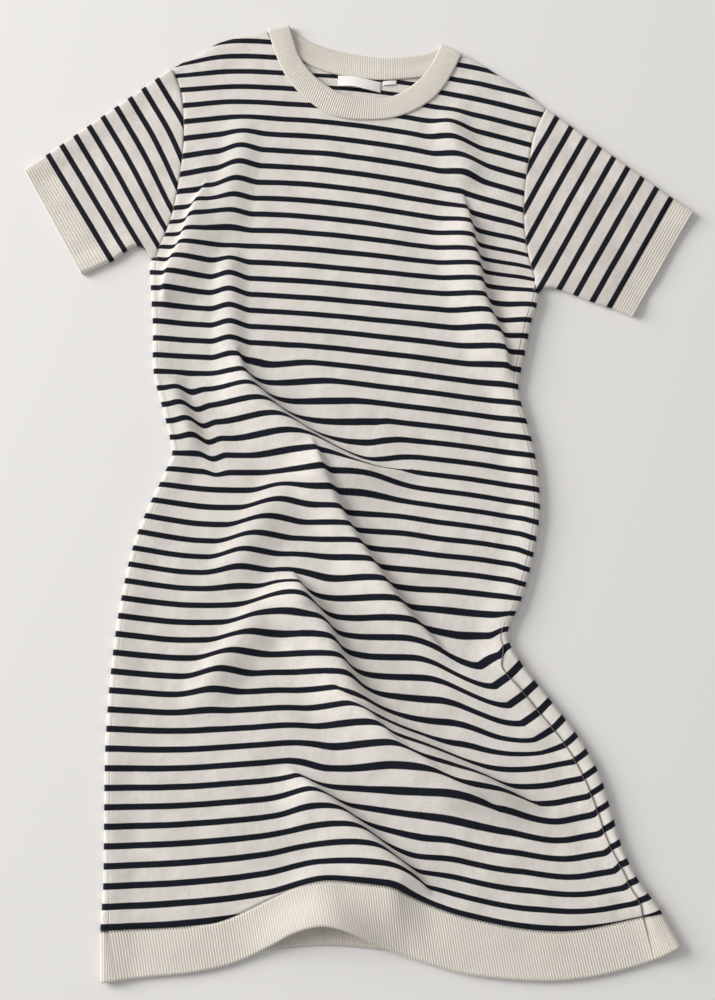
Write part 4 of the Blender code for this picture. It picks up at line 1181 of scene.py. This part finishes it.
def ramp(tree, value, low, high, to_low=0.0, to_high=1.0, smooth=True):
    made = node(tree, "ShaderNodeMapRange", interpolation_type="SMOOTHSTEP" if smooth else "LINEAR")
    for title, given in (("Value", value), ("From Min", low), ("From Max", high),
                         ("To Min", to_low), ("To Max", to_high)):
        plug(tree, made.inputs[title], given)
    return made.outputs["Result"]


def blend_colours(tree, share, first, second):
    made = node(tree, "ShaderNodeMix", data_type="RGBA")
    plug(tree, made.inputs["Factor"], share)
    plug(tree, made.inputs["A"], first)
    plug(tree, made.inputs["B"], second)
    return made.outputs["Result"]


def brightened(tree, colour, amount):
    made = node(tree, "ShaderNodeHueSaturation")
    plug(tree, made.inputs["Color"], colour)
    plug(tree, made.inputs["Value"], amount)
    return made.outputs[0]


def bump(tree, height, distance, strength=1.0, normal=None):
    made = node(tree, "ShaderNodeBump")
    made.inputs["Strength"].default_value = strength
    made.inputs["Distance"].default_value = distance
    plug(tree, made.inputs["Height"], height)
    if normal is not None:
        tree.links.new(normal, made.inputs["Normal"])
    return made.outputs[0]


def knit_vs(tree, across, down, wale, row):
    """The height of a stitch: a V in each wale, stepped down by rows. All in millimetres."""
    place = maths(tree, "FRACT", maths(tree, "DIVIDE", across, wale))
    arm = maths(tree, "ABSOLUTE", maths(tree, "SUBTRACT", place, 0.5))
    turn = maths(tree, "ADD", maths(tree, "DIVIDE", down, row), maths(tree, "MULTIPLY", arm, 1.3))
    loop = maths(tree, "SINE", maths(tree, "MULTIPLY", turn, math.tau))
    crown = maths(tree, "SINE", maths(tree, "MULTIPLY", maths(tree, "MULTIPLY", arm, 2.0), math.pi))
    return maths(tree, "ADD", maths(tree, "MULTIPLY", loop, 0.3), crown)


CREAM = (0.790, 0.745, 0.708, 1.0)
STRAW_CREAM = (0.738, 0.706, 0.650, 1.0)  # where the yarn is a little darker and yellower
NAVY = (0.0052, 0.0064, 0.0150, 1.0)
LINT = (0.10, 0.10, 0.13, 1.0)
STRIPE_SHARE = 1 / 6  # of a course, on each side of its middle
STRIPE_EDGE = 0.012  # of a course, for the softness of a stripe's edge and for its steps
WALE, STITCH_ROW = 1.25, 0.95  # width and height of a stitch


def jersey_material(name, row_mm):
    material = bpy.data.materials.new(name)
    tree, shader = material_nodes(material)
    place = node(tree, "ShaderNodeTexCoord").outputs["Object"]
    knit = node(tree, "ShaderNodeUVMap", uv_map="knit").outputs["UV"]
    parts = node(tree, "ShaderNodeSeparateXYZ")
    tree.links.new(knit, parts.inputs[0])
    across, course = parts.outputs["X"], parts.outputs["Y"]
    down = maths(tree, "MULTIPLY", course, row_mm)
    stitches = maths(tree, "SINE", maths(tree, "MULTIPLY", across, math.tau / WALE))
    step = maths(tree, "MULTIPLY", stitches, STRIPE_EDGE)
    drift = maths(tree, "MULTIPLY", maths(tree, "SUBTRACT", noise(tree, place, 22, 3), 0.5), 0.05)
    shifted = maths(tree, "ADD", maths(tree, "ADD", course, step), drift)
    off = maths(tree, "ABSOLUTE", maths(tree, "SUBTRACT", shifted, maths(tree, "ROUND", shifted)))
    in_stripe = ramp(tree, off, STRIPE_SHARE + STRIPE_EDGE, STRIPE_SHARE - STRIPE_EDGE)
    below_neck = maths(tree, "GREATER_THAN", course, 0.5)
    stripe = maths(tree, "MULTIPLY", in_stripe, below_neck)
    heather = ramp(tree, noise(tree, place, 900, 2, 0.7), 0.3, 0.7, 0.94, 1.05, smooth=False)
    cloudy = ramp(tree, noise(tree, place, 26, 4, 0.6), 0.3, 0.7, 0.935, 1.045, smooth=False)
    shade = maths(tree, "MULTIPLY", heather, cloudy)
    tint = ramp(tree, noise(tree, place, 60, 3, 0.6), 0.36, 0.64)
    cream = brightened(tree, blend_colours(tree, tint, STRAW_CREAM, CREAM), shade)
    lint = ramp(tree, noise(tree, place, 1500, 3, 0.7), 0.62, 0.74, 0.0, 0.07)
    deep = brightened(tree, NAVY, maths(tree, "POWER", shade, 3.0))
    navy = blend_colours(tree, lint, deep, LINT)
    colour = blend_colours(tree, stripe, cream, navy)
    plug(tree, shader.inputs["Base Color"], colour)
    shader.inputs["Roughness"].default_value = 0.86
    shader.inputs["Specular IOR Level"].default_value = 0.12
    shader.inputs["Sheen Weight"].default_value = 0.07
    shader.inputs["Sheen Roughness"].default_value = 0.55
    wear = bump(tree, noise(tree, place, 34, 4, 0.55), 0.0042, 0.7)
    fuzz = bump(tree, noise(tree, place, 700, 3, 0.65), 0.0004, 0.6, wear)
    vs = bump(tree, knit_vs(tree, across, down, WALE, STITCH_ROW), 0.00022, 0.7, fuzz)
    tree.links.new(vs, shader.inputs["Normal"])
    return material


SLEEVE_COURSE = 20.6
body_jersey = jersey_material("striped_body_knit", STRIPE_PITCH)
sleeve_jersey = jersey_material("striped_sleeve_knit", SLEEVE_COURSE)
print("jersey: cream", CREAM[:3], "navy", NAVY[:3])

# %% [markdown]
# ## Rib, tape and thread
#
# The rib is the same yarn as the cream of the jersey, with painted shade, darker and a touch warmer, between
# its ribs. Where the hem's seam runs across the last navy stripe, short navy teeth stand in the top of its
# ribs. The tape is bright white woven satin, so it has a fine cross weave and a little more gloss. Thread is
# cream, and white at the label.

# %% Rib, tape and thread materials
RIB_CREAM = (0.772, 0.722, 0.652, 1.0)
PAINTED_RIB_SHADE = (0.30, 0.26, 0.21, 1.0)  # painted shade between two ribs


def rib_finish(material, pitch, along, depth_of_shade, teeth=False):
    tree, shader = material_nodes(material)
    place = node(tree, "ShaderNodeTexCoord").outputs["Object"]
    parts = node(tree, "ShaderNodeSeparateXYZ")
    tree.links.new(node(tree, "ShaderNodeUVMap", uv_map="knit").outputs["UV"], parts.inputs[0])
    shade = maths(tree, "MULTIPLY",
                  ramp(tree, noise(tree, place, 850, 2, 0.7), 0.3, 0.7, 0.95, 1.04, smooth=False),
                  ramp(tree, noise(tree, place, 14, 3), 0.3, 0.7, 0.97, 1.02, smooth=False))
    measured = parts.outputs["Y" if along else "X"]
    wave = maths(tree, "COSINE", maths(tree, "MULTIPLY", measured, math.tau / pitch))
    uneven = ramp(tree, noise(tree, place, 11, 2), 0.35, 0.65, 0.45, 1.0)
    # Painted shade: the colour darkens between the ribs, on top of the shading that the raised ribs give
    # themselves.
    rib_shade_amount = maths(tree, "MULTIPLY", ramp(tree, wave, 0.2, -1.0, 0.0, depth_of_shade), uneven)
    colour = blend_colours(tree, rib_shade_amount, brightened(tree, RIB_CREAM, shade), PAINTED_RIB_SHADE)
    if teeth:
        xyz = node(tree, "ShaderNodeSeparateXYZ")
        tree.links.new(place, xyz.inputs[0])
        away = maths(tree, "ABSOLUTE", maths(tree, "ADD", xyz.outputs["X"], 0.125))
        under_stripe = ramp(tree, away, 0.05, 0.075)
        length = ramp(tree, wave, 0.1, 0.9, 0.4, 2.6)
        tooth = maths(tree, "MULTIPLY", maths(tree, "LESS_THAN", parts.outputs["Y"], length), under_stripe)
        colour = blend_colours(tree, maths(tree, "MULTIPLY", tooth, 0.85), colour, NAVY)
    plug(tree, shader.inputs["Base Color"], colour)
    shader.inputs["Roughness"].default_value = 0.88
    shader.inputs["Specular IOR Level"].default_value = 0.25
    shader.inputs["Sheen Weight"].default_value = 0.25
    shader.inputs["Sheen Roughness"].default_value = 0.55
    wear = bump(tree, noise(tree, place, 45, 4, 0.55), 0.0015, 0.5)
    fuzz = bump(tree, noise(tree, place, 750, 3, 0.65), 0.0004, 0.6, wear)
    loops = knit_vs(tree, parts.outputs["X"], parts.outputs["Y"], 1.5, 1.1)
    tree.links.new(bump(tree, loops, 0.0002, 0.7, fuzz), shader.inputs["Normal"])


def tape_finish(material):
    tree, shader = material_nodes(material)
    place = node(tree, "ShaderNodeTexCoord").outputs["Object"]
    parts = node(tree, "ShaderNodeSeparateXYZ")
    tree.links.new(node(tree, "ShaderNodeUVMap", uv_map="knit").outputs["UV"], parts.inputs[0])
    warp = maths(tree, "SINE", maths(tree, "MULTIPLY", parts.outputs["X"], math.tau / 0.45))
    weft = maths(tree, "SINE", maths(tree, "MULTIPLY", parts.outputs["Y"], math.tau / 0.6))
    shade = ramp(tree, noise(tree, place, 600, 2), 0.3, 0.7, 0.97, 1.02, smooth=False)
    plug(tree, shader.inputs["Base Color"], brightened(tree, (0.90, 0.875, 0.845, 1), shade))
    shader.inputs["Roughness"].default_value = 0.55
    shader.inputs["Sheen Weight"].default_value = 0.1
    weave = bump(tree, maths(tree, "MULTIPLY", warp, weft), 0.00012, 0.6)
    tree.links.new(weave, shader.inputs["Normal"])


def thread_finish(material, colour):
    tree, shader = material_nodes(material)
    place = node(tree, "ShaderNodeTexCoord").outputs["Object"]
    shade = ramp(tree, noise(tree, place, 1800, 2), 0.3, 0.7, 0.93, 1.05, smooth=False)
    plug(tree, shader.inputs["Base Color"], brightened(tree, colour, shade))
    shader.inputs["Roughness"].default_value = 0.6
    tree.links.new(bump(tree, noise(tree, place, 2600, 2), 0.0002, 0.5), shader.inputs["Normal"])


rib_finish(hem_knit, HEM_PITCH, False, 0.22, teeth=True)
rib_finish(cuff_knit, CUFF_PITCH, True, 0.22)
rib_finish(collar_knit, collar_pitch, False, 0.28)
tape_white = bpy.data.materials.new("white_tape")
tape_finish(tape_white)
thread_finish(cream_thread, (0.70, 0.65, 0.57, 1))
thread_finish(white_thread, (0.80, 0.80, 0.79, 1))


def dress(obj, material):
    obj.data.materials.clear()
    obj.data.materials.append(material)


for piece in (body_front, body_back):
    dress(piece, body_jersey)
for sleeve in sleeves.values():
    dress(sleeve["cloth"], sleeve_jersey)
for piece in (label, tab):
    dress(piece, tape_white)
print("materials:", sorted(m.name for m in bpy.data.materials if m.users))

# %% [markdown]
# ## What each piece was cut to
#
# Cloth keeps its size however it lies, so each sheet is listed with the size it was cut to, and the share of
# that cut that it covers is printed. That is a check on the modelling too: a drawn fold easily stretches the
# cloth by more than knit would bear.
# Tubes and rings are given all the way round. Each row holds width and length in metres and the cut's flat
# area. The floor is made here because the lowest pieces rest on it.

# %% Cuts and what rests on what
def flat_area(obj):
    """Half of the surface, because a sheet with a wall has two faces."""
    return sum(face.area for face in obj.data.polygons) / 2


sleeve_left, sleeve_right = sleeves["left"]["cloth"], sleeves["right"]["cloth"]
cuff_left, cuff_right = sleeves["left"]["rib"], sleeves["right"]["rib"]
FLOOR_REACH, FLOOR_HEIGHT = 4.0, -0.0006  # metres
corners = [(x * FLOOR_REACH, y * FLOOR_REACH, FLOOR_HEIGHT) for x, y in ((-1, -1), (1, -1), (1, 1), (-1, 1))]
floor_mesh = bpy.data.meshes.new("floor")
floor_mesh.from_pydata(corners, [], [(0, 1, 2, 3)])
floor = bpy.data.objects.new("floor", floor_mesh)
bpy.context.scene.collection.objects.link(floor)

CUTS = (
    # piece, plain node, width, length, flat area, what it lies on, what is sewn on it
    (body_back, "body_back", 0.70, 1.13, 0.530, [floor], [seam_threads]),
    (body_front, "body_front", 0.66, 1.13, 0.510, [body_back], []),
    (hem_rib_back, "hem_rib_back", 0.70, 0.084, 0.0500, [floor], []),
    (hem_rib_front, "hem_rib_front", 0.636, 0.075, 0.0390, [hem_rib_back], [hem_threads]),
    (sleeve_left, "sleeve_left", 0.540, 0.200, 0.0540, [floor], []),
    (sleeve_right, "sleeve_right", 0.504, 0.210, 0.0610, [floor], []),
    (cuff_left, "cuff_left", 0.325, 0.036, 0.0108, [floor], []),
    (cuff_right, "cuff_right", 0.325, 0.030, 0.0094, [floor], [topstitch]),
    (collar, "collar", 0.636, 0.034, 0.0206, [body_front, body_back], [collar_threads]),
    (label, "neck_label", 0.055, 0.016, 0.00083, [body_back], [tab, label_threads]),
)
for piece, plain, width, length, area, lies_on, sewn in CUTS:
    print(piece.name, "share of its cut:", round(flat_area(piece) / area, 3))
    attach(piece, "root")
    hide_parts(plain)
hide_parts("neck_tab")
for piece in (tab, seam_threads, hem_threads, collar_threads, label_threads, topstitch):
    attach(piece, "root")

# %% [markdown]
# ## Three kinds of stuff
#
# A maker who changes the yarn changes it for every piece cut from it. The pieces are of three kinds of stuff:
# the striped jersey, the cream rib with the thread that sews it, and the white tape of the label.

# %% [markdown]
# ## Floor, light and camera
#
# A garment laid flat is photographed from above, standing at its hem, so the camera leans nine degrees from
# straight down. The light is a large soft window to the upper left with a pale room around it. It leaves
# thin shadows along the right and lower sides of the folds, and a floor that is a little darker to the right.

# %% Floor
floor_paint = bpy.data.materials.new("pale_floor")
_, shader = material_nodes(floor_paint)
shader.inputs["Base Color"].default_value = (0.785, 0.772, 0.760, 1)
shader.inputs["Roughness"].default_value = 0.75
dress(floor, floor_paint)

# %% Light
world = bpy.data.worlds.new("room")
world.use_nodes = True
bpy.context.scene.world = world
room = world.node_tree.nodes["Background"]
room.inputs["Color"].default_value = (1.0, 0.995, 0.985, 1)
room.inputs["Strength"].default_value = 0.46


def window(name, place, aim, size, power, colour):
    light = bpy.data.lights.new(name, "AREA")
    light.shape, light.size, light.energy, light.color = "SQUARE", size, power, colour
    obj = bpy.data.objects.new(name, light)
    obj.location = place
    obj.rotation_euler = (Vector(aim) - Vector(place)).to_track_quat("-Z", "Y").to_euler()
    bpy.context.scene.collection.objects.link(obj)


window("window_upper_left", (-6.2, 2.4, 3.0), (0.1, 0, 0), 4.0, 690, (1.0, 0.99, 0.975))

# %% Camera
camera_data = bpy.data.cameras.new("view")
camera_data.lens, camera_data.sensor_width, camera_data.sensor_fit = 50, 36, "AUTO"
camera = bpy.data.objects.new("view", camera_data)
LEAN, DISTANCE, AIM = math.radians(9), 1.680, (-0.001, -0.026)
camera.location = (AIM[0], AIM[1] - DISTANCE * math.sin(LEAN), DISTANCE * math.cos(LEAN))
camera.rotation_euler = (LEAN, 0, 0)
bpy.context.scene.collection.objects.link(camera)
bpy.context.scene.camera = camera
bpy.context.scene.view_settings.view_transform = "Standard"
print("camera at", [round(v, 3) for v in camera.location])
